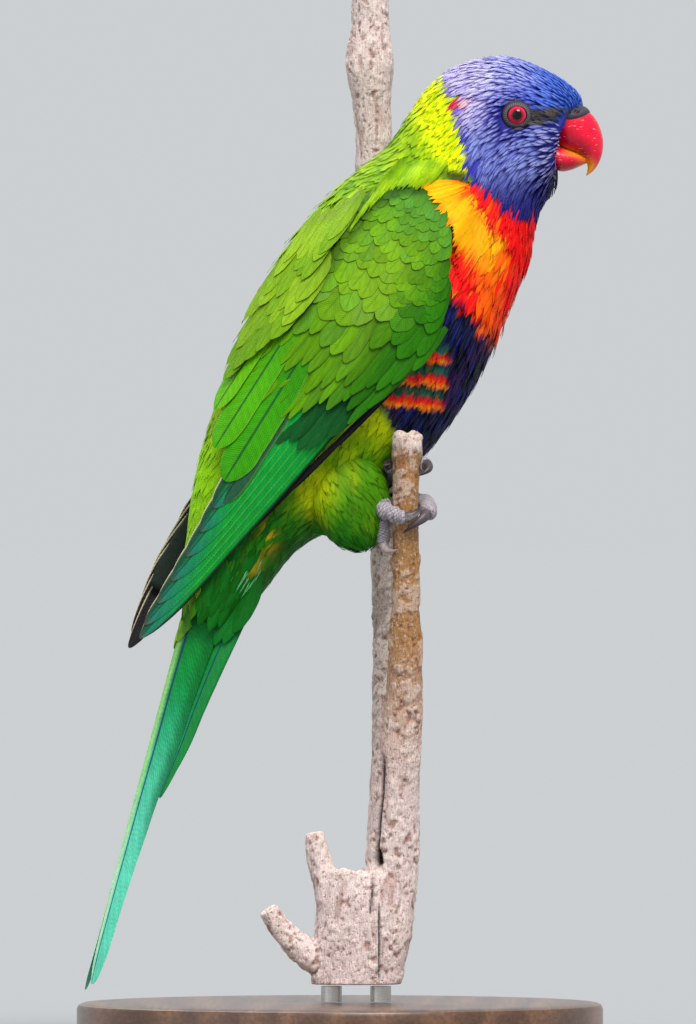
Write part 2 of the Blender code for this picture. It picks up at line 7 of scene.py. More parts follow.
# %% The frame
import math
import bpy
import numpy as np
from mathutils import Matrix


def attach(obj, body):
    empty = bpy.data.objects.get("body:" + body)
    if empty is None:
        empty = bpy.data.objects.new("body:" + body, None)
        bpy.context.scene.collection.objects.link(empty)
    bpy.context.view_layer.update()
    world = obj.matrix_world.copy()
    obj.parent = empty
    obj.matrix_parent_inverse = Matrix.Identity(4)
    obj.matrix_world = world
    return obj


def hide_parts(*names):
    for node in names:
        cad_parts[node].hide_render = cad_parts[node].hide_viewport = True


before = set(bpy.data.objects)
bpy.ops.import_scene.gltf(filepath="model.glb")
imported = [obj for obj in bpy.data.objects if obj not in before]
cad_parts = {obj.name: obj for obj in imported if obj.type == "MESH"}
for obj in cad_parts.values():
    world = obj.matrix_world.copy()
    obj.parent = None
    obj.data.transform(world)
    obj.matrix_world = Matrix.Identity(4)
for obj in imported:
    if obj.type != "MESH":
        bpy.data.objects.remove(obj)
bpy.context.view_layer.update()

# %% [markdown]
# ## Small tools
# All shapes here are worked out in millimetres and turned to metres once, when a mesh is made.
# A smooth curve through a few chosen points describes every outline, so an outline can be
# changed by moving one number.

# %% Curves and steps
MM = 0.001
SIDES = (("right", -1), ("left", 1))
dice = np.random.default_rng(11)


def curve_through(knots, values, at):
    """Cubic pieces through the knots. Each knot's slope is the gradient of its neighbours, and
    the curve runs on straight past its ends."""
    knots, values, at = (np.asarray(v, float) for v in (knots, values, at))
    slopes = np.gradient(values, knots, axis=0)
    inside = np.clip(at, knots[0], knots[-1])
    i = np.clip(np.searchsorted(knots, inside, side="right") - 1, 0, len(knots) - 2)
    step = knots[i + 1] - knots[i]
    u = (inside - knots[i]) / step
    past = at - inside
    if values.ndim > 1:
        u, step, past = u[..., None], step[..., None], past[..., None]
    end = np.where(past < 0, slopes[0], slopes[-1])
    return (values[i] * (1 + 2 * u) * (1 - u) ** 2 + values[i + 1] * u * u * (3 - 2 * u)
            + step * (slopes[i] * u * (1 - u) ** 2 - slopes[i + 1] * u * u * (1 - u)) + end * past)


def ramp(value, low, high):
    """0 below low, 1 above high, and 3s^2 - 2s^3 of the share s between."""
    share = np.clip((value - low) / (high - low), 0, 1)
    return share * share * (3 - 2 * share)


def blend(first, second, share):
    """first where share is 0, second where it is 1, for colours along the last axis."""
    share = np.asarray(share)[..., None]
    return first * (1 - share) + second * share


def unit(vectors):
    return vectors / np.maximum(np.linalg.norm(vectors, axis=-1, keepdims=True), 1e-12)


def lengths_along(path):
    """How far each point of a path lies from its start, by length."""
    return np.concatenate([[0], np.cumsum(np.linalg.norm(np.diff(path, axis=0), axis=1))])


def circle(count):
    """Angles spread evenly round one full turn."""
    return np.linspace(0, 2 * np.pi, count, endpoint=False)


def direction(down, turn):
    """Unit vectors at an angle down from the Z axis and an angle round it."""
    return np.stack([np.sin(down) * np.cos(turn), np.sin(down) * np.sin(turn), np.cos(down)], axis=-1)


def leaned(points, angle):
    """Points turned about the Y axis."""
    x, z = points[..., 0], points[..., 2]
    return np.stack([x * np.cos(angle) - z * np.sin(angle), points[..., 1],
                     x * np.sin(angle) + z * np.cos(angle)], axis=-1)


# %% Colours and noise
def paint(red, green, blue):
    """A colour given as screen values from 0 to 255, turned to light: ((c + 0.055) / 1.055)^2.4."""
    c = np.array([red, green, blue]) / 255
    return np.where(c <= 0.04045, c / 12.92, ((c + 0.055) / 1.055) ** 2.4)


def ripple(points, size, seed=0):
    """Soft noise from -1 to 1: a sum of nine sine waves in scattered directions, whose lengths
    fall from size to about a quarter of it."""
    wheel = np.random.default_rng(int(seed * 7 + 3))
    total = 0
    for n in range(9):
        way = unit(wheel.normal(size=3)) * 2 * np.pi / size * (1 + 0.4 * n)
        total = total + np.sin(points @ way + wheel.uniform(0, 6.28)) / (1 + 0.35 * n)
    return total / 3.2


def grit(points, size, seed=0):
    """Uneven noise from 0 to 1: every corner of a tilted grid of cells size wide has its own
    chance number, and a point's value is blended smoothly from its cell's eight corners."""
    wheel = np.random.default_rng(seed + 40)
    table = wheel.random((32, 32, 32))
    turned = np.linalg.qr(wheel.normal(size=(3, 3)))[0]
    place = points @ turned / size
    corner = np.floor(place).astype(int)
    share = ramp(place - corner, 0, 1)
    total = 0
    for step in np.ndindex(2, 2, 2):
        weight = np.prod(np.where(step, share, 1 - share), axis=-1)
        total = total + weight * table[tuple(np.moveaxis((corner + step) % 32, -1, 0))]
    return total


# %% [markdown]
# ## From arrays to objects
# A mesh is filled straight from arrays: points, four-sided faces, a colour and a mark on each
# point, and a map for baking. The mark says where on its feather a point lies: how far along,
# how far across, and a chance number that is the same all over one feather. A feather is shaded
# smooth above and below, but its rim stays sharp, as a thin blade's does.

# %% Mesh maker
def tube_faces(rows, ring, turned=False, closed=True):
    """Four-sided faces round a tube of rows of ring points, with its two ends closed by strips:
    strip i joins points i, i+1 and their opposites n-2-i, n-1-i."""
    row, col = np.meshgrid(np.arange(rows - 1), np.arange(ring), indexing="ij")
    after = (col + 1) % ring
    sides = np.stack([row * ring + col, (row + 1) * ring + col,
                      (row + 1) * ring + after, row * ring + after], axis=-1).reshape(-1, 4)
    i = np.arange(ring // 2 - 1)
    start = np.stack([i, i + 1, ring - 2 - i, ring - 1 - i], axis=-1)
    finish = start[:, ::-1] + (rows - 1) * ring
    faces = np.concatenate([sides, start, finish]) if closed else sides
    return faces[:, ::-1] if turned else faces


def joined(points, faces):
    """Several meshes as one: each one's faces count on from the points before it."""
    starts = np.cumsum([0] + [len(part) for part in points[:-1]])
    return np.concatenate(points), np.concatenate([part + n for part, n in zip(faces, starts)])


def joined_tubes(grids, turned):
    """Closed tubes as one mesh. Turned has one value for each, and turns its faces over."""
    return joined([grid.reshape(-1, 3) for grid in grids],
                  [tube_faces(*grid.shape[:2], turned=over) for grid, over in zip(grids, turned)])


# %% Piece maker
def make_piece(name, points, faces, material, replaces=(), tint=None, marks=None, uv=None):
    """An object from points in millimetres; tint, marks and uv each have one row a point."""
    mesh = bpy.data.meshes.new(name)
    mesh.vertices.add(len(points))
    mesh.vertices.foreach_set("co", (np.asarray(points) * MM).ravel())
    mesh.loops.add(faces.size)
    mesh.loops.foreach_set("vertex_index", faces.ravel())
    mesh.polygons.add(len(faces))
    mesh.polygons.foreach_set("loop_start", np.arange(len(faces)) * faces.shape[1])
    mesh.update(calc_edges=True)
    mesh.shade_smooth()
    if tint is not None:
        colour = np.concatenate([tint, np.ones((len(tint), 1))], axis=1)
        mesh.attributes.new("tint", "FLOAT_COLOR", "POINT").data.foreach_set("color", colour.ravel())
    if marks is not None:
        mesh.set_sharp_from_angle(angle=math.radians(60))
        mesh.attributes.new("marks", "FLOAT_VECTOR", "POINT").data.foreach_set("vector", marks.ravel())
    if uv is not None:
        mesh.uv_layers.new(name="OFBake").data.foreach_set("uv", uv[faces.ravel()].ravel())
    obj = bpy.data.objects.new(name, mesh)
    bpy.context.scene.collection.objects.link(obj)
    mesh.materials.append(material)
    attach(obj, "root")
    if replaces:
        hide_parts(*replaces)
    print(f"{name}: {len(faces) * (faces.shape[1] - 2)} triangles")
    return obj


# %% [markdown]
# ## Camera, floor and light
# A long lens from the bird's right, level with its middle, gives a portrait with almost no
# perspective. Three wide lamps far away light it: a warm key from above and in front, a weak fill
# from behind, and a rim light from the far side. The floor's colour is worked out so that floor
# and sky come out equally bright, and no horizon shows.

# %% Stage
CAMERA_AWAY, CAMERA_X, CAMERA_Z = 4.5, 0.0023, 0.1519
SENSOR, PICTURE_HEIGHT = 36, 0.29184
FLOOR_RADIUS = 60
SKY = np.array([0.6, 0.625, 0.64])
LAMPS = (
    # name, where it stands, strength, colour, width in degrees
    ("key", (0.35, -0.95, 1.35), 4, (1, 0.97, 0.91), 30),
    ("fill", (-1, -0.8, 0.4), 0.6, (0.94, 0.98, 1), 70),
    ("rim", (-0.5, 1, 1.3), 1.7, (1, 0.99, 0.96), 30),
)


def build_stage():
    scene = bpy.context.scene
    scene.view_settings.view_transform = "Standard"
    camera = bpy.data.cameras.new("camera")
    camera.sensor_width = SENSOR
    camera.lens = SENSOR * CAMERA_AWAY / PICTURE_HEIGHT
    holder = bpy.data.objects.new("camera", camera)
    scene.collection.objects.link(holder)
    holder.location = (CAMERA_X, -CAMERA_AWAY, CAMERA_Z)
    holder.rotation_euler = (math.pi / 2, 0, 0)
    scene.camera = holder
    world = bpy.data.worlds.new("sky")
    world.use_nodes = True
    world.node_tree.nodes["Background"].inputs["Color"].default_value = (*SKY, 1)
    scene.world = world
    on_floor = SKY.copy()
    for name, place, strength, colour, width in LAMPS:
        lamp = bpy.data.lights.new(name, "SUN")
        lamp.energy, lamp.color, lamp.angle = strength, colour, math.radians(width)
        obj = bpy.data.objects.new(name, lamp)
        scene.collection.objects.link(obj)
        x, y, z = unit(np.array(place))
        obj.rotation_euler = (math.acos(z), 0, math.atan2(y, x) + math.pi / 2)
        on_floor = on_floor + strength * z / math.pi * np.array(colour)
    plain = bpy.data.materials.new("plain_floor")
    plain.use_nodes = True
    shader = plain.node_tree.nodes["Principled BSDF"]
    shader.inputs["Base Color"].default_value = (*SKY / on_floor, 1)
    shader.inputs["Roughness"].default_value = 1
    shader.inputs["Specular IOR Level"].default_value = 0
    rim = FLOOR_RADIUS * direction(np.full(96, np.pi / 2), circle(96)) * (1, 1, 0)
    mesh = bpy.data.meshes.new("floor")
    mesh.from_pydata(rim.tolist(), [], [tuple(range(96))])
    mesh.materials.append(plain)
    floor = bpy.data.objects.new("floor", mesh)
    scene.collection.objects.link(floor)


build_stage()

# %% [markdown]
# ## Node helpers
# A material is a small tree of nodes. These helpers add a node, set its numbers and join it to
# others, so that each material below reads as a short list.

# %% Node helpers
class Tree:
    """Wraps a node tree; add() makes a node, sets its sockets by name or number, and returns it."""

    def __init__(self, owner):
        self.tree = owner

    def add(self, kind, inputs=None, **settings):
        node = self.tree.nodes.new(kind)
        for name, value in settings.items():
            setattr(node, name, value)
        for socket, value in (inputs or {}).items():
            if isinstance(value, bpy.types.NodeSocket):
                self.link(value, node.inputs[socket])
            else:
                node.inputs[socket].default_value = value
        return node

    def link(self, output, socket):
        self.tree.links.new(output, socket)

    def math(self, operation, *values):
        return self.add("ShaderNodeMath", dict(enumerate(values)), operation=operation).outputs[0]

    def mix(self, factor, first, second):
        """A mix of two colours: a Mix node takes colours at 6 and 7, and gives one at 2."""
        return self.add("ShaderNodeMix", {0: factor, 6: first, 7: second}, data_type="RGBA").outputs[2]

    def ramp(self, value, stops):
        node = self.add("ShaderNodeValToRGB", {0: value})
        for number, (place, colour) in enumerate(stops):
            if number < 2:
                stop = node.color_ramp.elements[number]
                stop.position = place
            else:
                stop = node.color_ramp.elements.new(place)
            stop.color = (*colour, 1)
        return node.outputs[0]

    def spread(self, value, low, high, to_low=0, to_high=1):
        """The value, stretched so that low becomes to_low and high becomes to_high."""
        inputs = {0: value, 1: low, 2: high, 3: to_low, 4: to_high}
        return self.add("ShaderNodeMapRange", inputs).outputs[0]

    def noise(self, vector, scale, detail=4, roughness=0.55):
        inputs = {"Vector": vector, "Scale": scale, "Detail": detail, "Roughness": roughness}
        return self.add("ShaderNodeTexNoise", inputs).outputs[0]

    def stretched(self, vector, sizes):
        return self.add("ShaderNodeMapping", {"Vector": vector, "Scale": sizes}).outputs[0]

    def tint(self):
        """The colour painted on the mesh's points."""
        return self.add("ShaderNodeAttribute", attribute_name="tint").outputs["Color"]

    def place(self):
        return self.add("ShaderNodeTexCoord").outputs["Object"]

    def dimmed(self, colour, share):
        return self.add("ShaderNodeVectorMath", {0: colour, "Scale": share}, operation="SCALE").outputs[0]

    def grain(self, scale, low, high, detail=3, roughness=0.55):
        """The shared grain on this material's own Object coordinates."""
        inputs = {"Vector": self.place(), "Scale": scale, "Detail": detail, "Roughness": roughness,
                  "Low": low, "High": high}
        return self.add("ShaderNodeGroup", inputs, node_tree=GRAIN).outputs

    def finish(self, shader, colour, height=None, strength=0, distance=0):
        """Joins a colour to the shader, and the bump that a height makes, if one is given."""
        self.link(colour, shader.inputs["Base Color"])
        if height is not None:
            inputs = {"Height": height, "Strength": strength, "Distance": distance}
            bump = self.add("ShaderNodeBump", inputs)
            self.link(bump.outputs[0], shader.inputs["Normal"])


def new_material(name, **constants):
    """A material whose Principled shader has the given constants set on its own sockets."""
    made = bpy.data.materials.new(name)
    made.use_nodes = True
    shader = made.node_tree.nodes["Principled BSDF"]
    for socket, value in constants.items():
        shader.inputs[socket.replace("_", " ")].default_value = value
    return made, Tree(made.node_tree), shader


def new_group(name, inputs, outputs):
    """An empty node group with named sockets; inputs and outputs map names to socket types."""
    group = bpy.data.node_groups.new(name, "ShaderNodeTree")
    for label, kind in inputs.items():
        group.interface.new_socket(label, in_out="INPUT", socket_type=kind)
    for label, kind in outputs.items():
        group.interface.new_socket(label, in_out="OUTPUT", socket_type=kind)
    tree = Tree(group)
    return group, tree, tree.add("NodeGroupInput"), tree.add("NodeGroupOutput")


# %% [markdown]
# ## Grain
# Nothing that lives has one even colour. Feathers, skin, claws and bark all share one group: a
# cloudy noise, and a shade that runs from a low to a high value with it. Each material gives it
# its own size and strength.

# %% Grain group
def grain_group():
    """Noise on a vector, and a shade: the noise from 0.3 to 0.7, stretched from Low to High."""
    names = ("Scale", "Detail", "Roughness", "Low", "High")
    group, tree, given, result = new_group(
        "grain", {"Vector": "NodeSocketVector", **dict.fromkeys(names, "NodeSocketFloat")},
        {"Shade": "NodeSocketFloat", "Noise": "NodeSocketFloat"})
    vector, scale, detail, roughness, low, high = (given.outputs[name] for name in ("Vector", *names))
    cloud = tree.noise(vector, scale, detail, roughness)
    tree.link(tree.spread(cloud, 0.3, 0.7, low, high), result.inputs["Shade"])
    tree.link(cloud, result.inputs["Noise"])
    return group


GRAIN = grain_group()

# %% [markdown]
# ## What a feather looks like close up
# A vane is made of fine barbs that leave the shaft at a slant, so the light breaks into slanting
# lines on both sides of a thin ridge. One shared group turns a point's mark into that pattern: a
# shade that darkens between the barbs, a line along the shaft, and a height for the bump.

# %% Barb group
def barb_group():
    group, tree, given, result = new_group(
        "barbs", {"Marks": "NodeSocketVector", "Barbs": "NodeSocketFloat", "Slant": "NodeSocketFloat"},
        {"Shade": "NodeSocketFloat", "Shaft": "NodeSocketFloat", "Height": "NodeSocketFloat"})
    parts = tree.add("ShaderNodeSeparateXYZ", {0: given.outputs["Marks"]})
    along, across, seed = parts.outputs
    off = tree.math("ABSOLUTE", across)
    slanted = tree.math("SUBTRACT", along, tree.math("MULTIPLY", off, given.outputs["Slant"]))
    wobble = tree.noise(given.outputs["Marks"], 7, 2)
    wavy = tree.math("MULTIPLY_ADD", wobble, 0.035, slanted)
    phase = tree.math("MULTIPLY", wavy, given.outputs["Barbs"])
    wave = tree.math("SINE", tree.math("MULTIPLY_ADD", seed, 9, phase))
    clump = tree.math("SINE", tree.math("MULTIPLY", phase, 0.23))
    both = tree.math("MULTIPLY_ADD", clump, 0.5, wave)
    tree.link(tree.spread(both, -1.5, 1.5, 0.8, 1.1), result.inputs["Shade"])
    shaft = tree.spread(off, 0.03, 0.1, 1, 0)
    tree.link(shaft, result.inputs["Shaft"])
    tree.link(tree.math("MULTIPLY_ADD", shaft, 1.6, both), result.inputs["Height"])
    return group


BARBS = barb_group()


# %% Feather materials
def feather_material(name, barbs, slant, shaft_colour, shaft_share, roughness=0.52):
    """The painted tint, darkened between the barbs, with a shaft line of its own colour."""
    made, tree, shader = new_material(name, Roughness=roughness, Specular_IOR_Level=0.1)
    marks = tree.add("ShaderNodeAttribute", attribute_name="marks").outputs["Vector"]
    inputs = {"Marks": marks, "Barbs": barbs, "Slant": slant}
    pattern = tree.add("ShaderNodeGroup", inputs, node_tree=BARBS).outputs
    dapple = tree.grain(260, 0.9, 1.08)["Shade"]
    lit = tree.dimmed(tree.tint(), tree.math("MULTIPLY", pattern["Shade"], dapple))
    share = tree.math("MULTIPLY", pattern["Shaft"], shaft_share)
    colour = tree.mix(share, lit, (*shaft_colour, 1))
    tree.finish(shader, colour, pattern["Height"], 0.35, 0.00012)
    return made


FINE_FEATHER = feather_material("fine_feather", 60, 0.25, paint(190, 185, 225), 0)
BODY_FEATHER = feather_material("body_feather", 95, 0.35, paint(120, 170, 50), 0.12)
COVERT_FEATHER = feather_material("covert_feather", 120, 0.3, paint(40, 95, 20), 0.35)
FLIGHT_FEATHER = feather_material("flight_feather", 420, 0.1, paint(15, 50, 40), 0.75, 0.42)
TAIL_FEATHER = feather_material("tail_feather", 520, 0.09, paint(20, 40, 90), 0.85, 0.45)

# %% [markdown]
# ## The body as one surface
# The body is a row of oval sections, each set by its highest and lowest point and its half
# width. A point of it has two parameters: the station t, from the bill to the tail, and the turn
# round the section, from the back over the right side to the belly. The feathers' lie is then
# simply the direction in which t grows.

# %% Body surface
BODY_STATIONS = np.array([
    # back X, back Z, belly X, belly Z, half width, pinch under the belly
    [69.7, 267.6, 62.3, 249.3, 7.2, 0],
    [67.2, 272.2, 60.9, 245.8, 10.8, 0],
    [59.4, 277.4, 58.7, 241.2, 14.4, 0.02],
    [47.9, 281.4, 56.4, 237.1, 16.6, 0.05],
    [36.8, 280.2, 55.3, 233.1, 17.3, 0.06],
    [27.4, 275, 54.4, 228.6, 17.2, 0.05],
    [20.2, 266, 53.6, 223.7, 17.8, 0.03],
    [13.4, 256.2, 51.4, 217.4, 20.3, 0.02],
    [2.3, 247, 47.6, 208.3, 23.6, 0.02],
    [-10.5, 233.4, 43, 197.5, 26, 0.05],
    [-21.9, 215.8, 36.2, 184.4, 26.5, 0.16],
    [-30.4, 196.7, 26, 170.4, 25, 0.26],
    [-36.8, 178.1, 12.6, 157.2, 21.2, 0.18],
    [-41, 162.3, -1.6, 147.6, 17, 0.05],
    [-43.3, 146.8, -13, 140.6, 13.2, 0],
    [-44.6, 132.4, -22.2, 129, 10.4, 0],
    [-45.3, 119.6, -32.6, 115.8, 8.6, 0],
    [-49.1, 106.4, -38.5, 103.1, 8, 0],
])
BODY_END = 14.9
ROUNDNESS = 2.15
FACE_HOLLOW = 3.2
THIGH_MIDDLE = np.array([3, 13.4, 155.8])
THIGH_RADII = np.array([11.2, 8, 14.2])
THIGH_LEAN = math.radians(14)


def body(t, turn):
    """The section's middle plus cos(turn) of its half height and sin(turn) of its half width,
    each raised to the power 2 / roundness; a pinch narrows the lower half."""
    at = curve_through(np.arange(len(BODY_STATIONS)), BODY_STATIONS, t)
    back, belly, half, pinch = at[..., 0:2], at[..., 2:4], at[..., 4], at[..., 5]
    c, s = np.cos(turn), np.sin(turn)
    c, s = (np.sign(v) * np.abs(v) ** (2 / ROUNDNESS) for v in (c, s))
    flat = (back + belly) / 2 + (back - belly) / 2 * c[..., None]
    y = -half * s * (1 - pinch * np.clip(-c, 0, 1))
    x = flat[..., 0] - FACE_HOLLOW * s * s * ramp(1.8 - t, 0, 1.8)
    return np.stack([x, y, flat[..., 1]], axis=-1)


def thigh(side):
    """A leaned ball: the angle down from its top, and the angle round it."""
    def place(down, round_it):
        return leaned(direction(down, round_it) * THIGH_RADII, THIGH_LEAN) + THIGH_MIDDLE * (1, side, 1)
    return place


def lifted(place, facing, p, q, height):
    """Points a height off a surface, along the cross product of its two small steps."""
    step = 1e-3
    here = place(p, q)
    normal = unit(np.cross(place(p + step, q) - here, place(p, q + step) - here)) * facing
    return here + normal * np.asarray(height)[..., None]


# %% [markdown]
# ## One skin
# Under the feathers lies one closed skin, so no gap can show a hole. It is the body's own
# surface moved in by a feather's depth, and each of its rays reaches out to the thigh's ball
# where that lies further out. The two are joined with a soft maximum, which rounds the fold.

# %% Skin
SKIN_DEPTH, SOFT_FOLD = 1.6, 1.5
MAP_STATIONS = 18


def skin_map(t, turn):
    """The skin's unwrap: the turn runs across the map and the station runs up it."""
    return np.stack([0.02 + 0.96 * (turn / (2 * np.pi) % 1), 0.02 + 0.96 * t / MAP_STATIONS], axis=-1)


def ball_reach(start, ray):
    """How far along each ray the nearer thigh's ball ends, or 0 where the ray misses it."""
    side = np.where(ray[..., 1:2] < 0, -1, 1)
    off = start - THIGH_MIDDLE * np.where([False, True, False], side, 1)
    o, d = (leaned(v, -THIGH_LEAN) / (THIGH_RADII - SKIN_DEPTH) for v in (off, ray))
    a, b, c = (d * d).sum(-1), (o * d).sum(-1), (o * o).sum(-1) - 1
    under = b * b - a * c
    return np.where(under > 0, (-b + np.sqrt(np.maximum(under, 0))) / a, 0)


def skin_points(rows=260, columns=192):
    """The body's surface moved in, then out again over the thighs by a soft maximum of the two."""
    t, turn = np.meshgrid(np.linspace(0, BODY_END, rows), circle(columns), indexing="ij")
    depth = SKIN_DEPTH * (0.45 + 0.55 * ramp(t, 1, 5))
    outer = lifted(body, 1, t, turn, -depth)
    middle = (body(t, 0 * turn) + body(t, 0 * turn + np.pi)) / 2
    ray = outer - middle
    own = np.linalg.norm(ray, axis=-1)
    ray = unit(ray)
    other = ball_reach(middle, ray)
    reach = SOFT_FOLD * np.logaddexp(own / SOFT_FOLD, other / SOFT_FOLD)
    return middle + ray * np.where(other > 0, reach, own)[..., None], skin_map(t, turn)


# %% [markdown]
# ## The markings
# Skin and feathers share one set of markings, so a gap between two feathers shows the same
# colour. They are a handful of borders drawn on the bird's side, each a curve through a few
# points, and mixed with a little chance for each feather: the blue head, the yellow-green
# collar, the green mantle, the breast that runs from yellow to red, the dark violet belly with
# its red bars, and the mottled green and yellow thighs. Painted shade deepens the green under the
# tail and darkens the thighs' lower front.

# %% Markings
CROWN, FOREHEAD, NAPE = paint(46, 48, 172), paint(48, 92, 208), paint(118, 98, 196)
CHEEK, THROAT = paint(56, 56, 168), paint(30, 28, 116)
COLLAR, COLLAR_WARM = paint(190, 222, 0), paint(228, 230, 0)
MANTLE, MANTLE_DARK = paint(148, 184, 2), paint(88, 144, 2)
BREAST_YELLOW, BREAST_ORANGE, BREAST_RED = paint(255, 186, 0), paint(255, 100, 0), paint(246, 10, 18)
BELLY, BELLY_BLUE, BELLY_PURPLE = paint(4, 4, 34), paint(8, 14, 84), paint(44, 4, 70)
OLIVE = paint(50, 54, 24)
THIGH_GREEN, THIGH_YELLOW, RUMP = paint(60, 134, 0), paint(208, 214, 2), paint(136, 196, 6)
BELLY_BARS = (
    # middle height, slope, where it ends in front
    (214.5, 0.1, 33), (196.2, -0.05, 32.5), (190, -0.1, 32), (183.6, -0.1, 31))

# %% Breast and belly
def breast_colour(x, z, luck):
    """A yellow core line runs down the breast. Behind it and in front of it the yellow turns to
    orange and red with distance, and red lines the throat; chance streaks it by a few mm."""
    core = curve_through([201, 212, 224, 230, 237, 244], [43, 42.2, 41, 38.5, 34.2, 28.5], z)
    off = x - core + (luck[..., 1] - 0.5) * 5
    red = ramp(off, 2, 13)
    red = np.maximum(red, ramp(-off, 1.5, 8) * ramp(232 - z, 0, 8))
    near_throat = 5.5 + 3 * (luck[..., 2] - 0.5) - throat_line(x) + z
    red = np.maximum(red, ramp(near_throat, 0, 4) * ramp(x, 35, 41))
    red = np.clip(red + (luck[..., 0] - 0.5) * 0.45 + 0.6 * ramp(229 - z, 0, 13), 0, 1)
    warm = blend(BREAST_YELLOW, BREAST_ORANGE, ramp(red, 0, 0.5))
    return blend(warm, BREAST_RED, ramp(red, 0.45, 0.95))


def belly_colour(x, z, luck):
    """Dark blue with violet patches, crossed at the side by short bars: red above, orange below,
    with a green band over each."""
    violet = ramp(ripple(np.stack([x, z * 0.6, 0 * z], axis=-1), 11, 4), 0, 0.6)
    colour = blend(blend(BELLY, BELLY_BLUE, ramp(luck[..., 2], 0.3, 0.9)), BELLY_PURPLE, violet * 0.7)
    for middle, slope, front in BELLY_BARS:
        down = middle + slope * (x - 25) - z + (luck[..., 0] - 0.5) * 1.2
        sides = ramp(front - x, 0, 2.5)
        above = sides * ramp(down, -4.5, -3) * ramp(-down, 1.2, 2.4)
        colour = blend(colour, paint(20, 96, 60), above * 0.8)
        bar = sides * ramp(down, -1.9, -1) * ramp(-down, -1.9, -1.1)
        colour = blend(colour, blend(BREAST_RED, paint(255, 140, 0), ramp(down, -0.2, 1)), bar)
    return colour


def throat_line(x):
    """The height of the border between the blue head and the breast."""
    return curve_through([28, 36, 40, 47, 56, 64], [250, 248.4, 245.4, 240.4, 235.4, 231], x)


def head_share(x, z, fray=0):
    """1 on the blue head and 0 off it: ahead of the nape's border and above the throat's."""
    nape_x = curve_through([245, 251, 259, 268, 275, 283], [39.5, 36.5, 35.3, 32.8, 30.2, 27], z)
    return ramp(x - nape_x + fray, -0.8, 0.8) * ramp(z - throat_line(x) + fray, -0.8, 0.8)


# %% Thigh and head
def thigh_colour(points, mottle):
    """Green with yellow patches, more yellow at its top, behind, and in a slanting band, and darker
    at its lower front by a painted shade.
    """
    x, z = points[..., 0], points[..., 2]
    patches = 0.04 + 0.34 * ramp(ripple(points * (1, 1, 0.6), 19, 9) + 0.5 * (mottle - 0.5), -0.4, 0.9)
    slanting = x + 8 + 0.35 * (z - 155)
    for yellow in (0.8 * ramp(z + 0.3 * x, 170, 182),
                   0.8 * np.exp(-((x + 6) / 5) ** 2 - ((z - 161) / 8) ** 2),
                   0.9 * np.exp(-(slanting / 3) ** 2 - ((z - 155) / 11) ** 2)):
        patches = np.maximum(patches, yellow)
    thigh = blend(THIGH_GREEN, THIGH_YELLOW, patches * 0.85)
    # Painted shade: darker at the lower front.
    return thigh * (1 - 0.32 * ramp(x + 2, 0, 6) * ramp(172 - z, 0, 14))[..., None]


def head_colour(x, z, mottle):
    """Violet-blue, brighter on the forehead, greyer on the nape, darkest at the throat, with one
    small red spot behind the crown."""
    crown = blend(CROWN, FOREHEAD, ramp(x, 48, 62) * ramp(z, 258, 268))
    crown = blend(crown, NAPE, ramp(44 - x, 0, 9) * ramp(z, 250, 262))
    face = blend(CHEEK, THROAT, ramp(250 - z + (mottle - 0.5) * 4, -2, 8))
    head = blend(face, crown, ramp(z, 258, 266))
    spot = np.exp(-((x - 34.5) / 3) ** 2 - ((z - 268.8) / 1.2) ** 2)
    return blend(head, paint(206, 26, 66), np.clip(spot * 1.6, 0, 0.95))


# %% All markings together
def plumage(points, luck):
    """Colours of points, from their height Z and place X on the bird's side; luck has three
    chance numbers from 0 to 1 a point, which fray the borders and mottle the fields."""
    x, z = points[..., 0], points[..., 2]
    fray = (luck[..., 0] - 0.5) * 2.2
    mottle = luck[..., 1]
    soft = ripple(points, 17, 6)
    colour = blend(MANTLE_DARK, MANTLE, np.clip(0.55 + 0.5 * soft + 0.4 * (mottle - 0.5), 0, 1))
    colour = blend(colour, RUMP, ramp(178 - z + fray * 2, 0, 12))
    collar_x = curve_through([246, 252, 258, 266, 276], [38, 29, 24, 20.5, 19], z)
    collar = ramp(x - collar_x + fray * 1.2, -2.5, 2) * ramp(z - 247.4 + fray, -1, 1.5)
    colour = blend(colour, blend(COLLAR, COLLAR_WARM, mottle), collar)
    olive = np.exp(-((x - 34.5) / 5.5) ** 2 - ((z - 247.8) / 2.3) ** 2) + 0.3 * (mottle - 0.5)
    colour = blend(colour, OLIVE, ramp(olive, 0.25, 0.8) * 0.9)
    breast_x = curve_through([208, 218, 231, 239, 246], [32.5, 31, 28.2, 22.5, 25.5], z)
    breast = ramp(x - breast_x + fray, -1, 1) * ramp(245.2 - z + fray, -0.8, 0.8)
    colour = blend(colour, breast_colour(x, z, luck), breast)
    belly_top = 213 - (x - 32.8) * 1.12
    belly_x = curve_through([160, 165, 173, 183, 200, 212], [27, 24, 18, 12, 14, 24], z)
    in_belly = ramp(belly_top - z + fray * 3, -2.2, 2.2) * ramp(x - belly_x + fray, -1.5, 1.5)
    colour = blend(colour, belly_colour(x, z, luck), in_belly * ramp(z - 163 + fray, -2, 3))
    vent = ramp(165 - z + fray, -2, 2) + ramp(belly_x - x, -1, 2) * ramp(186 - z, -3, 3)
    vent = np.clip(vent, 0, 1) * ramp(x + 30, 0, 8)
    colour = blend(colour, thigh_colour(points, mottle), vent)
    # Below the tail's root the green is deepened: the green is the bird's own, its depth is painted
    # shade.
    under_tail_shade = ramp(156 - z - 0.3 * x + fray, 0, 12) * ramp(x + 37, 0, 6)
    colour = blend(colour, paint(10, 104, 8), under_tail_shade * 0.9)
    colour = blend(colour, head_colour(x, z, mottle), head_share(x, z, fray))
    return colour * (0.9 + 0.2 * luck[..., 1:2])


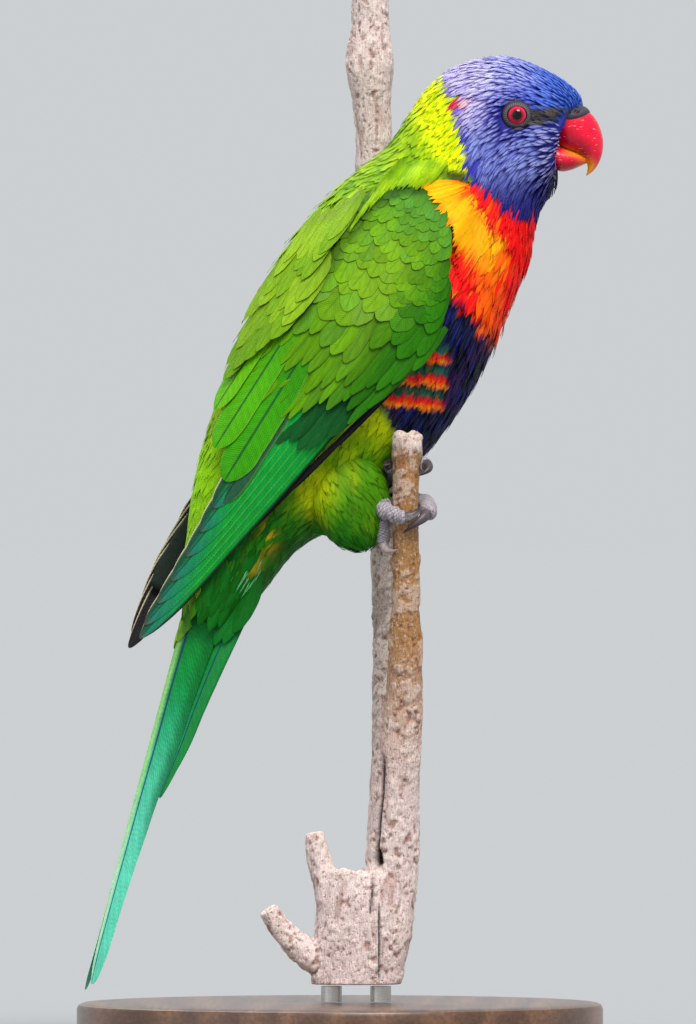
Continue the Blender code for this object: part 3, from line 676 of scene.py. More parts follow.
# %% Build the skin
def build_skin():
    made, tree, shader = new_material("skin", Roughness=0.8, Specular_IOR_Level=0.2)
    grain = tree.grain(900, 0.55, 0.85)["Shade"]
    tree.finish(shader, tree.dimmed(tree.tint(), grain), grain, 0.6, 0.0003)
    points, uv = skin_points()
    rows, ring = points.shape[:2]
    flat = points.reshape(-1, 3)
    tint = plumage(flat, np.full((len(flat), 3), 0.5))
    make_piece("skin", flat, tube_faces(rows, ring), made,
               ("head", "neck", "trunk", "thigh_right", "thigh_left"), tint=tint, uv=uv.reshape(-1, 2))
    return made


SKIN = build_skin()

# %% [markdown]
# ## How a feather is made
# A feather is a thin closed leaf: a grid of points along and across it, above, and the same
# below, sharing the rim. Its outline widens from the root, and rounds off towards the tip. It is
# bent over the surface it grows on, because each point is found from the surface's own two
# parameters. Its root lies deep and its tip high, so the next row slips under it like a shingle.

# %% Feather maker
def outline(u, blunt, root):
    """Half width as a share of the widest: from root it rises to 1 as a quarter sine by u = 0.4,
    and past u = blunt it falls as a quarter circle."""
    rise = root + (1 - root) * np.sin(np.clip(u / 0.4, 0, 1) * np.pi / 2)
    fall = np.sqrt(1 - np.clip((u - blunt) / (1 - blunt), 0, 1) ** 2)
    return rise * fall


def grow(place, facing, p, q, length, width, *, yaw=0, bend=0, sink=-1, rise=0, tilt=0,
         cup=0.12, blunt=0.55, root=0.35, thick=0.16, rows=8, columns=5, fray=0.05, point=0.1):
    """Feathers with their roots at (p, q) of a surface. Sizes are in millimetres: sink and rise
    are the heights of root and tip, and tilt lifts one side. Yaw is in radians away from the
    direction of growing p. Bend is the sideways run of the tip as a share of the length, and
    point is how far the tip stands ahead of its sides, as such a share. Returns points, faces,
    marks and the feathers' grid shape."""
    count = len(p)

    def column(value):
        return np.broadcast_to(np.asarray(value, float), (count,))[:, None, None]

    u = np.linspace(0, 0.985, rows)[None, :, None]
    over = np.linspace(-1, 1, columns)
    v = np.concatenate([over, over[-2:0:-1]])[None, None, :]
    top = np.concatenate([np.ones(columns), -np.ones(columns - 2)])[None, None, :]
    seed = dice.uniform(size=count)
    ragged = 1 + fray * np.sin(u * 31 + column(seed) * 60 + 2 * np.sign(v)) * ramp(u, 0.35, 0.8)
    half = column(width) / 2 * outline(u, column(blunt), column(root)) * ragged
    ahead = (u - column(point) * v * v * ramp(u, 0.6, 1)) * column(length)
    aside = v * half + column(bend) * column(length) * u * u
    turn_c, turn_s = np.cos(column(yaw)), np.sin(column(yaw))
    dp, dq = ahead * turn_c - aside * turn_s, ahead * turn_s + aside * turn_c
    near = 1e-3
    first = np.linalg.norm(place(p + near, q) - place(p, q), axis=-1) / near
    middle_p = p + np.asarray(length) * 0.45 / first
    here = place(middle_p, q)
    per_p = np.linalg.norm(place(middle_p + near, q) - here, axis=-1) / near
    per_q = np.linalg.norm(place(middle_p, q + near) - here, axis=-1) / near
    at_p = column(p) + dp / column((first + per_p) / 2)
    at_q = column(q) + dq / column(per_q)
    bulge = column(cup) * half * (1 - v * v)
    height = column(sink) + (column(rise) - column(sink)) * u - column(tilt) * v * ramp(u, 0, 0.4)
    wall = column(thick) / 2 * top * np.sqrt(np.clip(1 - v * v, 0, 1)) * (1 - 0.6 * u)
    points = lifted(place, facing, at_p, at_q, height + bulge + wall)
    ring = 2 * columns - 2
    shape = (count, rows, ring)
    one = tube_faces(rows, ring, turned=facing < 0)
    faces = (one[None] + (np.arange(count) * rows * ring)[:, None, None]).reshape(-1, 4)
    marks = np.stack([np.broadcast_to(m, shape) for m in (u, v, column(seed))], axis=-1)
    return {"points": points.reshape(-1, 3), "faces": faces, "marks": marks.reshape(-1, 3),
            "shape": shape, "top": np.broadcast_to(top, shape), "count": count}


# %% Feathers as pieces
def on_grid(made, what):
    """Points or marks of feathers, with one axis for the feather, its rows and its rings."""
    return made[what].reshape(*made["shape"], 3)


def leaf_marks(made):
    """How far along and how far across its feather each point lies."""
    marks = on_grid(made, "marks")
    return marks[..., 0], marks[..., 1]


def baking_patches(made, root_uv):
    """Each feather's map is a patch 0.003 across at its root's place on the skin's unwrap."""
    u, v = leaf_marks(made)
    patch = np.stack([v * 0.0015, (u - 0.5) * 0.003], axis=-1)
    return (root_uv[:, None, None] + patch).reshape(-1, 2)


def baking_cells(made):
    """Large feathers get a cell of a square grid each, with a margin."""
    u, v = leaf_marks(made)
    side = math.ceil(math.sqrt(made["count"]))
    number = np.arange(made["count"])[:, None, None]
    under = np.where(made["top"] > 0, 0.25, 0.75)
    x = (number % side + under + v * 0.21) / side
    y = (number // side + 0.06 + u * 0.88) / side
    return np.stack([x, y], axis=-1).reshape(-1, 2)


def feather_piece(name, lots, material, replaces=()):
    """One object from lots of feathers, each given as its arrays, its colours and its map."""
    grown, tints, maps = zip(*lots)
    points, faces = joined([made["points"] for made in grown], [made["faces"] for made in grown])
    make_piece(name, points, faces, material, replaces, uv=np.concatenate(maps),
               marks=np.concatenate([made["marks"] for made in grown]),
               tint=np.concatenate([tint.reshape(-1, 3) for tint in tints]))


# %% Roots in rows
def scatter(place, p_range, row_gap, side_gap, shake=0.28):
    """Roots in rows along p, each all round q. Rows are row_gap apart where they are furthest
    apart, roots are side_gap apart by length, every root is shaken, and crowded stretches are
    thinned."""
    found = []
    p, row, step = p_range[0], 0, 0.02
    q = np.linspace(0, 2 * np.pi, 241)
    while p < p_range[1]:
        line = place(p + 0 * q, q)
        run = np.linalg.norm(place(p + step + 0 * q, q) - line, axis=1) / step
        arc = lengths_along(line)
        count = max(int(arc[-1] / side_gap), 1)
        at = (np.arange(count) + 0.5 * (row % 2) + dice.uniform(-shake, shake, count)) * side_gap
        at_q = np.interp(at, arc, q)
        at_run = np.interp(at_q, q, run)
        keep = dice.uniform(size=count) < 1.15 * at_run / run.max()
        at_p = p + dice.uniform(-shake, shake, count) * row_gap / at_run
        found.append(np.stack([at_p, at_q], axis=1)[keep])
        p += row_gap / run.max()
        row += 1
    return np.concatenate(found)


# %% [markdown]
# ## The folded wing as a surface
# Each wing lies folded against the side like half a shell. A point of it is given by a distance
# along the wing, from its bend to its tip, and across it, towards the back. How far it stands
# out from the bird's middle is an ellipse across, whose height and width change along the wing.

# %% Wing surface
WING_BEND, WING_TIP = np.array([25.7, 236.6]), np.array([-57.6, 115.7])
WING_AXIS = unit(WING_TIP - WING_BEND)
WING_UPWARD = np.array([WING_AXIS[1], -WING_AXIS[0]])
WING_KNOTS = [-4, 4, 14, 24, 36, 50, 64, 78, 90, 98]
WING_UPPER = [6, 17.5, 23.2, 25.5, 26.5, 25.8, 23.6, 20.2, 14, 8]
WING_LOWER = [-1, -8.5, -15, -19.8, -23.4, -21.2, -16.6, -13.2, -11.8, -11.2]
SHEET_KNOTS = [-6, 8, 24, 42, 60, 78, 94, 108, 126, 148]
SHEET_OUT = [24.5, 28, 30.4, 31.2, 30.4, 27.6, 23.2, 18.6, 13.2, 9]
SHEET_MIDDLE = [-5.5, -4.5, -4.3, -5.5, -7.2, -8.2, -8, -7.5, -6, -3]
SHEET_DEPTH = [30, 34, 36.8, 37.2, 35.4, 32, 28, 26, 25, 24]
SHOULDER_EDGE = ([-4, 2, 9, 20, 32, 44, 56, 66, 74], [8, 14.5, 17.6, 18.2, 17.6, 16.2, 16, 17.6, 20])


def upper_edge(along):
    return curve_through(WING_KNOTS, WING_UPPER, along)


def lower_edge(along):
    return curve_through(WING_KNOTS, WING_LOWER, along)


def wing(side):
    """side is -1 on the right and 1 on the left, whose fold lies a little higher on the back."""
    def place(along, across):
        out = curve_through(SHEET_KNOTS, SHEET_OUT, along)
        middle = curve_through(SHEET_KNOTS, SHEET_MIDDLE, along)
        depth = curve_through(SHEET_KNOTS, SHEET_DEPTH, along)
        y = side * out * np.sqrt(np.clip(1 - ((across - middle) / depth) ** 2, 0.02, 1))
        if side > 0:
            across = across + 5.6 * ramp(along, 82, 110) * (1 - 0.85 * ramp(along, 120, 152))
            along = along - 3 + 7 * ramp(along, 84, 146)
        plan = WING_BEND + along[..., None] * WING_AXIS + across[..., None] * WING_UPWARD
        return np.stack([plan[..., 0], y, plan[..., 1]], axis=-1)
    return place


def wing_plan(flat):
    """Distances along and across the wing of places X, Z."""
    return (flat - WING_BEND) @ WING_AXIS, (flat - WING_BEND) @ WING_UPWARD


def under_wing(points, margin):
    """True where a folded wing hides the body, at least a margin inside the wing's outline."""
    along, across = wing_plan(points[..., [0, 2]])
    inside = (across < upper_edge(along) - margin) & (across > lower_edge(along) + margin)
    return inside & (along > margin) & (along < 96) & (np.abs(points[..., 1]) > 9)


# %% [markdown]
# ## Head feathers
# The head wears narrow pointed feathers, each with a pale line down its middle, which gives the
# streaked look. They are shortest at the bill and round the eye. Bare skin is left for the eye
# ring and the cere, and the strip between the eye and the bill is dark.

# %% Eye, cere and bill kept clear
EYE_MIDDLE = np.array([50.3, 14, 264.6])
EYE_RADIUS = 3.6


def face_clear(points):
    """False inside the eye ring, on the cere, and in front of the feathers' border at the bill."""
    x, z = points[..., 0], points[..., 2]
    to_eye = np.hypot((x - EYE_MIDDLE[0]) / 1.06, z - EYE_MIDDLE[2])
    at_side = np.abs(points[..., 1]) > 8
    edge = curve_through([249, 256, 262.2, 263.6, 267.5], [63.2, 62.9, 63.4, 64, 69.5], z)
    return ~((to_eye < 3.75) & at_side) & (x < edge)


def on_lores(points):
    """How much a point lies on the dark strip from the eye to the bill, from 0 to 1."""
    x, z = points[..., 0], points[..., 2]
    off = np.abs(z - 264 - 0.16 * (x - 56))
    strip = ramp(2.7 - 0.1 * (x - 54) - off, -0.5, 0.7) * ramp(x, 51.5, 53.5)
    ring = ramp(4.9 - np.hypot(x - EYE_MIDDLE[0], z - EYE_MIDDLE[2]), 0, 0.6)
    return np.maximum(strip, 0.8 * ring) * ramp(np.abs(points[..., 1]), 4, 7)


# %% Streaks of the head
def head_tints(made, points, luck):
    """A feather's own colour with a pale line down its middle. The line is strongest on the
    nape and the cheek, weak on the forehead, and blurs out at the throat."""
    base = plumage(points, luck)
    u, v = leaf_marks(made)
    base = np.broadcast_to(base[:, None, None], (*made["shape"], 3))
    x, z = points[:, 0], points[:, 2]
    nape = ramp(48 - x, -4, 12) * ramp(z, 256, 266)
    cheek = ramp(262 - z, -2, 4) * ramp(z, 238, 252) * (0.6 + 0.4 * ramp(x, 50, 62))
    top = ramp(z, 268, 276) * ramp(62 - x, 0, 10)
    strength = np.clip(0.3 + 0.75 * nape + 0.85 * cheek + 0.6 * top, 0, 1) * (0.5 + 0.5 * luck[:, 2])
    strength = strength * head_share(x - 1.5, z - 1) * (0.2 + 0.8 * ramp(z, 240, 252))
    by_bill = ramp(x, 54, 61) * ramp(263 - z, 0, 3)
    whiter = np.clip(nape + 0.3 * top + 0.6 * by_bill, 0, 1)
    streak = blend(paint(160, 176, 236), paint(222, 216, 236), whiter)[:, None, None]
    pale = (1 - np.abs(v)) * ramp(u, 0.2, 0.55) * (1 - 0.35 * ramp(u, 0.85, 1))
    # Painted shade darkens each feather at its sides and towards its root, where the feathers over it
    # lie.
    colour = blend(base * (1 - 0.25 * np.abs(v))[..., None], streak, pale * strength[:, None, None])
    return colour * (0.62 + 0.38 * ramp(u, 0.2, 0.65))[..., None]


# %% Head coat
def coat(name, roots, luck, tints, material, slot, **shape):
    """A piece of feathers on the body, with its colours and its baking map."""
    made = grow(body, 1, *roots.T, **shape)
    lot = (made, tints(made, luck), baking_patches(made, skin_map(*roots.T)))
    feather_piece(name, [lot], material)


def build_head_coat():
    roots = scatter(body, (0.02, 5.3), 1.5, 1.15)
    roots = roots[face_clear(body(*roots.T))]
    places = body(*roots.T)
    size = 0.36 + 0.64 * ramp(roots[:, 0], 0.4, 3.4)
    near_eye = np.hypot(places[:, 0] - EYE_MIDDLE[0], places[:, 2] - EYE_MIDDLE[2])
    size = size * (0.45 + 0.55 * ramp(near_eye, 4, 10))
    luck = dice.uniform(size=(len(roots), 3))

    def tints(made, luck):
        points = on_grid(made, "points")[:, made["shape"][1] // 2, 1]
        colour = head_tints(made, points, luck)
        lores = blend(paint(50, 48, 54), paint(80, 75, 73), ramp(luck[:, 0], 0.2, 0.9))
        colour = blend(colour, lores[:, None, None], on_lores(points)[:, None, None])
        chin = ramp(points[:, 0], 59, 61.5) * ramp(250.5 - points[:, 2], 0, 2)
        return blend(colour, paint(12, 10, 26), 0.9 * chin[:, None, None])

    throat = ramp(252 - places[:, 2], 0, 8)
    under_bill = ramp(places[:, 0], 60, 62) * ramp(251 - places[:, 2], 0, 1)
    coat("head_coat", roots, luck, tints, FINE_FEATHER, "head_feathers",
         length=(7.2 + 2.2 * throat) * size + 2.2 * under_bill, width=(1.42 + 0.5 * throat) * size + 0.12,
         yaw=dice.normal(0, 0.11, len(roots)), sink=-0.55 * size - 0.2,
         rise=(0.14 + 0.4 * dice.uniform(size=len(roots)) ** 2) * size + throat * 0.35 + 1.3 * under_bill,
         blunt=0.3, root=0.5, thick=0.26, rows=7, columns=3, fray=0, cup=0.3)


build_head_coat()

# %% [markdown]
# ## Neck, breast, back and belly
# Further down the feathers are broader and longer. On the breast each one ends in a deeper
# colour than its base, so the yellow field looks flamed with orange and red. Feathers that a
# folded wing hides are left out.

# %% Body coats
def body_tints(made, luck, paint_at=plumage):
    """The marking of each place along the feather's middle, mostly where it lies and partly
    where it is rooted. On the breast some tips are redder, which draws flames."""
    grid = on_grid(made, "points")
    u, v = leaf_marks(made)
    colour = paint_at(0.15 * grid[:, :1, 1] + 0.85 * grid[:, :, 1], luck[:, None])[:, :, None]
    warm = ramp(colour[..., 0] - colour[..., 1] * 0.9, 0.1, 0.3) * ramp(colour[..., 0], 0.4, 0.6)
    redder = warm * (ramp(luck[:, 2], 0.55, 0.95) * 0.7)[:, None, None] * ramp(u, 0.55, 0.95)
    colour = blend(colour, BREAST_RED, redder * (1 - 0.6 * np.abs(v)))
    # Painted shade darkens each feather towards its root, where the row above overlaps it; it is also a
    # little lighter along its middle near the tip.
    light = 1 + 0.14 * (1 - np.abs(v)) * ramp(u, 0.4, 0.8) * (1 - warm)
    return colour * ((0.84 + 0.16 * ramp(u, 0.2, 0.6)) * light)[..., None]


def build_body_coats():
    neck = scatter(body, (4.75, 7.9), 2, 1.55)
    luck = dice.uniform(size=(len(neck), 3))
    front = ramp(body(*neck.T)[:, 0], 32, 46)
    coat("neck_coat", neck, luck, body_tints, BODY_FEATHER, "neck_feathers",
         length=7.5 + 4 * front, width=2.1 + 0.5 * front, yaw=dice.normal(0, 0.1, len(neck)),
         sink=-0.8, rise=0.12 + dice.uniform(size=len(neck)) ** 4 * (0.4 + 0.5 * front), blunt=0.3,
         columns=3, fray=0)
    trunk = scatter(body, (7.6, 14), 2.7, 1.9)
    trunk = trunk[~under_wing(body(*trunk.T), 5.5)]
    places = body(*trunk.T)
    front = places[:, 0] > curve_through([120, 160, 200, 240], [-36, -10, 8, 26], places[:, 2])
    for name, part, wide in (("breast_coat", trunk[front], 2.7), ("back_coat", trunk[~front], 3.2)):
        count = len(part)
        luck = dice.uniform(size=(count, 3))
        breast = ramp(body(*part.T)[:, 2], 196, 212)
        coat(name, part, luck, body_tints, BODY_FEATHER, "body_feathers",
             length=dice.uniform(10.5, 13.5, count), width=wide * dice.uniform(0.85, 1.15, count),
             yaw=dice.normal(0, 0.09, count), sink=-0.85,
             rise=0.12 + dice.uniform(size=count) ** 4 * (0.5 + 0.9 * breast), blunt=0.3, rows=9,
             columns=3, fray=0, cup=0.15)


build_body_coats()

# %% [markdown]
# ## Thighs
# The thigh's feathers are soft and loose, and hang down over the foot. They grow on the thigh's
# own ball, point down and back, and stand off a little more than the others.

# %% Thigh coats
def build_thighs():
    for name, side in SIDES:
        place = thigh(side)
        roots = scatter(place, (0.3, 2.8), 1.5, 1.15)
        roots = roots[side * np.sin(roots[:, 1]) > -0.55]
        luck = dice.uniform(size=(len(roots), 3))
        count = len(roots)
        yaw = 0.3 * side * np.sin(roots[:, 1]) + dice.normal(0, 0.16, count)
        low = ramp(roots[:, 0], 1.2, 2.6)
        made = grow(place, 1, *roots.T, dice.uniform(8, 12, count), dice.uniform(1.6, 2.3, count),
                    yaw=yaw, sink=-0.6, blunt=0.25, columns=3, fray=0,
                    rise=dice.uniform(0.05, 0.3, count) + 1.8 * low * dice.uniform(size=count) ** 2)
        turned = roots[:, 1] / (2 * np.pi) % 1
        root_uv = 0.1 + 0.8 * np.stack([turned, roots[:, 0] / 3.2], 1)
        lot = (made, body_tints(made, luck), baking_patches(made, root_uv))
        feather_piece(f"thigh_coat_{name}", [lot], BODY_FEATHER)


build_thighs()

# %% [markdown]
# ## A pad under each wing
# The folded wing is a thin curved plate of flesh and bone under its feathers. It is modelled as
# a plate between two depths below the wing's surface, so no gap between feathers shows through.

# %% Wing pads
def plate(side, knots, upper, lower, top_depth, thick, end, rows=40, columns=24):
    """A closed plate: each row runs over its outer face and back under its inner face. It is
    thick in the middle of a row, by the root of a sine, and thin at its ends."""
    along = np.linspace(knots[0] + 2, min(knots[-1] - 1, end), rows)
    share = np.linspace(0, 1, columns)
    high = curve_through(knots, upper, along) - 1.2
    low = curve_through(knots, lower, along) + 1.2
    across = high[:, None] * (1 - share) + low[:, None] * share
    full = np.sqrt(np.clip(np.sin(np.pi * share), 0, 1))[None] * np.ones((rows, 1))
    along = np.broadcast_to(along[:, None], across.shape)
    depth = top_depth + 1.4 * ramp(along, 46, 72)
    outer = lifted(wing(side), side, along, across, -depth)
    inner = lifted(wing(side), side, along, across, -depth - 0.3 - thick * full)
    return np.concatenate([outer, inner[:, ::-1]], axis=1)


BLADE_KNOTS = [70, 84, 92, 102, 112, 122, 134, 143, 149]
BLADE_UPPER = [2, 3, 5, 6, 5.4, 4.4, 3.2, 2.2, 1.6]
BLADE_LOWER = [-14, -13, -12.4, -10.6, -8, -5.2, -2.2, -0.6, 0.4]


def build_wing_pads():
    for name, side in SIDES:
        arm = plate(side, WING_KNOTS, WING_UPPER, WING_LOWER, 2.2, 1.2, 82)
        hand = plate(side, BLADE_KNOTS, BLADE_UPPER, BLADE_LOWER, 2.4, 0.5, 130)
        points, faces = joined_tubes((arm, hand), (side < 0, side < 0))
        tint = np.tile(paint(60, 120, 30), (len(points), 1))
        tint[arm[..., 0].size:] = paint(30, 40, 36)
        uv = (points[:, [0, 2]] - points[:, [0, 2]].min(0)) / 200 + 0.05
        make_piece(f"wing_pad_{name}", points, faces, SKIN, (f"wing_{name}",),
                   tint=tint, uv=uv)


build_wing_pads()

# %% [markdown]
# ## Coverts
# Rows of coverts cover the wing like shingles, small and round at its bend, longer towards the
# flight feathers. Each row is given by the line of its tips. Within a row the feather nearer the
# back lies over its neighbour, so every feather is tilted a little.

# %% Tables of rows
ROW_ACROSS = [-22, -15, -8, 0, 8, 16]
COVERT_ROWS = np.array([
    # where the tips lie along the wing at six places across it, length, width, gap, height
    [24, 15, 5, 2, 2, 5, 6.4, 3.4, 2.2, 0],
    [26, 18, 11, 9, 9, 12, 7, 3.8, 2.5, 0],
    [27.5, 21, 17.5, 16.5, 17, 20, 8.4, 4.6, 3.1, 0],
    [29.5, 25, 25, 27, 28, 31, 11.4, 6.3, 4.1, -0.1],
    [31, 28, 30, 34, 35.5, 38, 14, 7.2, 4.7, -0.15],
    [33.5, 32, 37, 44.5, 45.5, 46, 18, 7, 4.5, -0.2],
    [44, 47.5, 51.5, 56, 57, 56, 26, 4.8, 2.8, -0.35],
    [50, 57, 64, 71, 71, 68, 34, 4.5, 2.4, -0.55],
])
ROW_STEPS = [0, 0.42, 0.84, 1.26, 1.68, 2.1, 2.45, 2.8, 3.3, 3.9, 4.6, 5.3, 6.1, 7]
ROWS_END, HAND_END = 17.6, 8
HAND_COVERTS = ([-18, -13, -9, -4, 3, 8], (63, 68.5, 75, 80, 86, 88), 26, 5.2, 2.9, -1.1, HAND_END)

# %% Colours of the coverts
WING_GREEN, WING_LIGHT, WING_BLUE = paint(82, 136, 0), paint(122, 164, 26), paint(74, 136, 46)
WING_DEEP, HAND_DARK = paint(20, 100, 0), paint(12, 80, 32)


def lie_of_edge(along, across):
    """Feathers near the wing's leading edge turn to run along it."""
    slope = lower_edge(along + 1) - lower_edge(along)
    return np.arctan(slope) * np.exp(-np.maximum(across - lower_edge(along), 0) / 5)


def covert_colour(along, across, luck):
    """Bluish at the bend, light yellow-green in the middle, deep green along the leading edge."""
    middle = np.exp(-((along - 25) / 16) ** 2 - ((across - 3) / 11) ** 2)
    colour = blend(WING_GREEN, WING_LIGHT, middle * 0.75)
    bluish = ramp(12 - along, 0, 12) * 0.6 + 0.35 * ramp(luck[:, 1], 0.7, 1)
    colour = blend(colour, WING_BLUE, np.clip(bluish, 0, 1))
    colour = blend(colour, WING_DEEP, ramp(-across, 4, 15) * 0.85)
    return colour * (0.8 + 0.38 * luck[:, 2:3])


def leaf_tints(made, base, *, rim=0.78, tip=1, edge=None, edge_from=0.8, edge_share=0, under=None):
    """A base colour a feather, darker at its root and rim by painted shade where its neighbours
    overlap it, with its own edge and underside.
    """
    u, v = leaf_marks(made)
    colour = np.broadcast_to(base[:, None, None], (*made["shape"], 3))
    # Painted shade: dark at the root, where the next feathers lie over it, and at the rim.
    shade = (0.7 + 0.3 * ramp(u, 0.1, 0.6)) * (1 - (1 - rim) * ramp(np.abs(v), 0.78, 1))
    shade = shade * (1 + (tip - 1) * ramp(u, 0.6, 1))
    colour = colour * shade[..., None]
    if edge is not None:
        colour = blend(colour, edge, edge_share * ramp(np.abs(v), edge_from, edge_from + 0.15))
    if under is not None:
        colour = np.where(made["top"][..., None] > 0, colour, under)
    return colour


def shoulder_shadow(made):
    """A painted shadow that the shoulder's feathers throw on the coverts below them: a share from 1
    down to under a half just below the shoulder's edge."""
    along, across = wing_plan(on_grid(made, "points")[..., [0, 2]])
    below = curve_through(*SHOULDER_EDGE, along) - 2.4 - across
    # Painted shadow: a band just under the shoulder's edge, fading out past along 52.
    gap = ramp(3.2 - below, 0, 3) * ramp(below, -6, -3) * ramp(52 - along, 0, 8)
    return (1 - 0.55 * gap)[..., None]


# %% Rows of coverts
def row_places(row_across, tips, length, width, gap, high):
    """Roots, yaw, lengths and widths of one row. The tips are shaken about the row's line, and
    feathers at the leading edge are shorter and narrower, and lie along it."""
    across = np.arange(-24, high, gap)
    across = across + dice.uniform(-0.12, 0.12, len(across)) * gap
    shake = dice.uniform(-0.24, 0.24, len(across))
    along = curve_through(row_across, tips, across) + shake * length ** 0.9
    inside = across > lower_edge(np.minimum(along, 96)) + 0.3 * width + 0.2
    inside &= across < upper_edge(along) - 0.3 * width
    along, across = along[inside], across[inside]
    near_edge = np.exp(-((across - lower_edge(along)) / 5) ** 2)
    yaw = lie_of_edge(along, across)
    yaw = yaw + dice.normal(0, 0.12, len(along)) * ramp(26 - length, 0, 14) * (1 - 0.8 * near_edge)
    length = length * (1 - 0.45 * near_edge * ramp(length, 12, 20))
    width = width * (1 - 0.4 * near_edge * ramp(length, 8, 12))
    return along - length * np.cos(yaw), across - length * np.sin(yaw), yaw, length, width


def build_coverts():
    table = curve_through(np.arange(len(COVERT_ROWS)), COVERT_ROWS, ROW_STEPS)
    rows = [(ROW_ACROSS, row[:6], *row[6:], ROWS_END) for row in table] + [HAND_COVERTS]
    for name, side in SIDES:
        lots = []
        for row_across, tips, length, width, gap, height, high in rows:
            along, across, yaw, length, width = row_places(row_across, tips, length, width, gap, high)
            count = len(along)
            luck = dice.uniform(size=(count, 3))
            made = grow(wing(side), side, along, across, length * dice.uniform(0.95, 1.06, count),
                        width * dice.uniform(0.85, 1.15, count), yaw=yaw,
                        sink=height - 0.36 - 0.035 * length, rise=height + dice.uniform(0, 0.1, count),
                        tilt=0.05 + 0.07 * ramp(length, 12, 24), cup=0.04,
                        blunt=dice.uniform(0.5, 0.68, count), root=0.55, thick=0.1, rows=10, point=0.02)
            base = covert_colour(along + length * 0.7, across, luck)
            if high == HAND_END:
                base = HAND_DARK * (0.85 + 0.3 * luck[:, :1])
            # A painted sheen: a few median coverts are blended towards grey-lavender, a reflection
            # painted into their colour.
            painted_sheen = ramp(luck[:, 0], 0.72, 1) * ramp(across, -8, 0)
            painted_sheen = painted_sheen * ramp(length, 9, 12) * ramp(22 - length, 0, 5)
            base = blend(base, paint(128, 152, 120), 0.28 * painted_sheen)
            # Painted shade: longer coverts get darker rims, for the shade between them.
            rim = 0.97 - 0.3 * ramp(length, 12, 26)[:, None, None]
            # The painted shadow under the shoulder's edge darkens the coverts' colour.
            tint = leaf_tints(made, base, rim=rim, tip=1.1) * shoulder_shadow(made)
            root_uv = np.stack([0.1 + 0.8 * (across + 26) / 50, 0.05 + 0.9 * (along + 20) / 120], 1)
            lots.append((made, tint, baking_patches(made, root_uv)))
        feather_piece(f"coverts_{name}", lots, COVERT_FEATHER)


build_coverts()

# %% [markdown]
# ## Shoulder feathers
# Long soft feathers run from the mantle down the back and over the wing's upper edge, where the
# lowest ones stand raised and throw a shadow on the coverts; that shadow is also painted on them.

# %% Shoulder feathers
def build_shoulders():
    for name, side in SIDES:
        along, across = np.meshgrid(np.arange(14, 76, 4.6), np.arange(0, 15, 2.7), indexing="ij")
        along = (along + dice.uniform(-1.4, 1.4, along.shape)).ravel()
        above = (across + dice.uniform(-0.6, 0.6, across.shape)).ravel()
        across = curve_through(*SHOULDER_EDGE, along) + above + 0.4
        keep = across < upper_edge(along) - 0.3
        length = np.minimum(dice.uniform(17, 24, along.shape), along - 1)
        keep &= across < upper_edge(along - length) + 1.5
        along, across, above, length = along[keep], across[keep], above[keep], length[keep]
        count = len(along)
        yaw = -0.07 + dice.normal(0, 0.05, count)
        luck = dice.uniform(size=(count, 3))
        made = grow(wing(side), side, along - length, across - length * np.sin(yaw), length,
                    dice.uniform(4.6, 6.6, count), yaw=yaw, sink=-0.6, blunt=0.5, root=0.4,
                    rise=0.4 + 0.25 * luck[:, 0] + 0.9 * ramp(3 - above, 0, 3), tilt=0.1,
                    cup=0.06, thick=0.14, rows=14, fray=0.04, point=0.03)
        share = (0.35 + 0.5 * luck[:, 1] + 0.25 * ramp(above, 2, 9)) * (1 - 0.45 * ramp(along, 45, 72))
        base = blend(paint(74, 128, 4), paint(138, 176, 30), share)
        tint = leaf_tints(made, base, rim=0.9, tip=1.12)
        root_uv = np.stack([0.1 + 0.8 * (across - 5) / 30, 0.1 + 0.8 * (along + 20) / 100], 1)
        lot = (made, tint, baking_patches(made, root_uv))
        feather_piece(f"shoulder_{name}", [lot], COVERT_FEATHER)


build_shoulders()

# %% [markdown]
# ## Where the wing's bend is tucked in
# A parrot tucks the bend of its wing under its breast and mantle feathers. Those feathers bridge
# from the body over the wing, so they grow on a sheet hung between two lines of places: the line
# of their roots on the body, and the line of their tips on whichever stands out more.

# %% Overlapping fringes
BREAST_FRINGE = np.array([
    # X and Z of a root, then of the tip across from it
    [34.5, 245.2, 23.2, 244], [36.2, 243.8, 24, 239.4], [37.4, 242, 26.6, 233.4],
    [38.6, 238, 29.2, 227], [39.4, 232.5, 31.2, 220.6], [39.8, 226, 32.4, 213.5]])
MANTLE_FRINGE = np.array([
    [30, 252.6, 23.6, 243], [24.5, 252.6, 17.6, 241.9], [19, 251, 11.6, 239],
    [13.6, 247, 6, 234.2], [8, 241, 0.8, 228.2]])


def beside(flat):
    """How far the body, or the wing where it covers the body, stands out beside places X, Z."""
    t, turn = np.meshgrid(np.linspace(3, 12, 260), np.linspace(0.02, 3.12, 160), indexing="ij")
    shell = body(t, turn).reshape(-1, 3)
    near = ((shell[None, :, [0, 2]] - flat[:, None]) ** 2).sum(-1).argmin(1)
    along, across = wing_plan(flat)
    inside = (along > -3.5) & (across > lower_edge(along))
    return np.maximum(-shell[near, 1], np.where(inside, -wing(-1)(along, across)[..., 1], 0))


# %% A hanging sheet
def hung(side, lines, lift=0.6):
    """A sheet: p runs from the line of roots to the line of tips, and q counts along the lines.
    The tips hang a little off what they cover, and the sheet bulges by 1 mm half way."""
    knots = np.arange(len(lines))
    roots, tips = lines[:, :2], lines[:, 2:]
    near, far = beside(roots), beside(tips) + lift

    def place(p, q):
        first, last = curve_through(knots, roots, q), curve_through(knots, tips, q)
        flat = first + p[..., None] * (last - first)
        start, end = curve_through(knots, near, q), curve_through(knots, far, q)
        out = start + (end - start) * p + np.sin(np.pi * np.clip(p, 0, 1))
        return np.stack([flat[..., 0], side * out, flat[..., 1]], axis=-1)
    return place


def breast_at(points, luck):
    return breast_colour(points[..., 0], points[..., 2], luck)


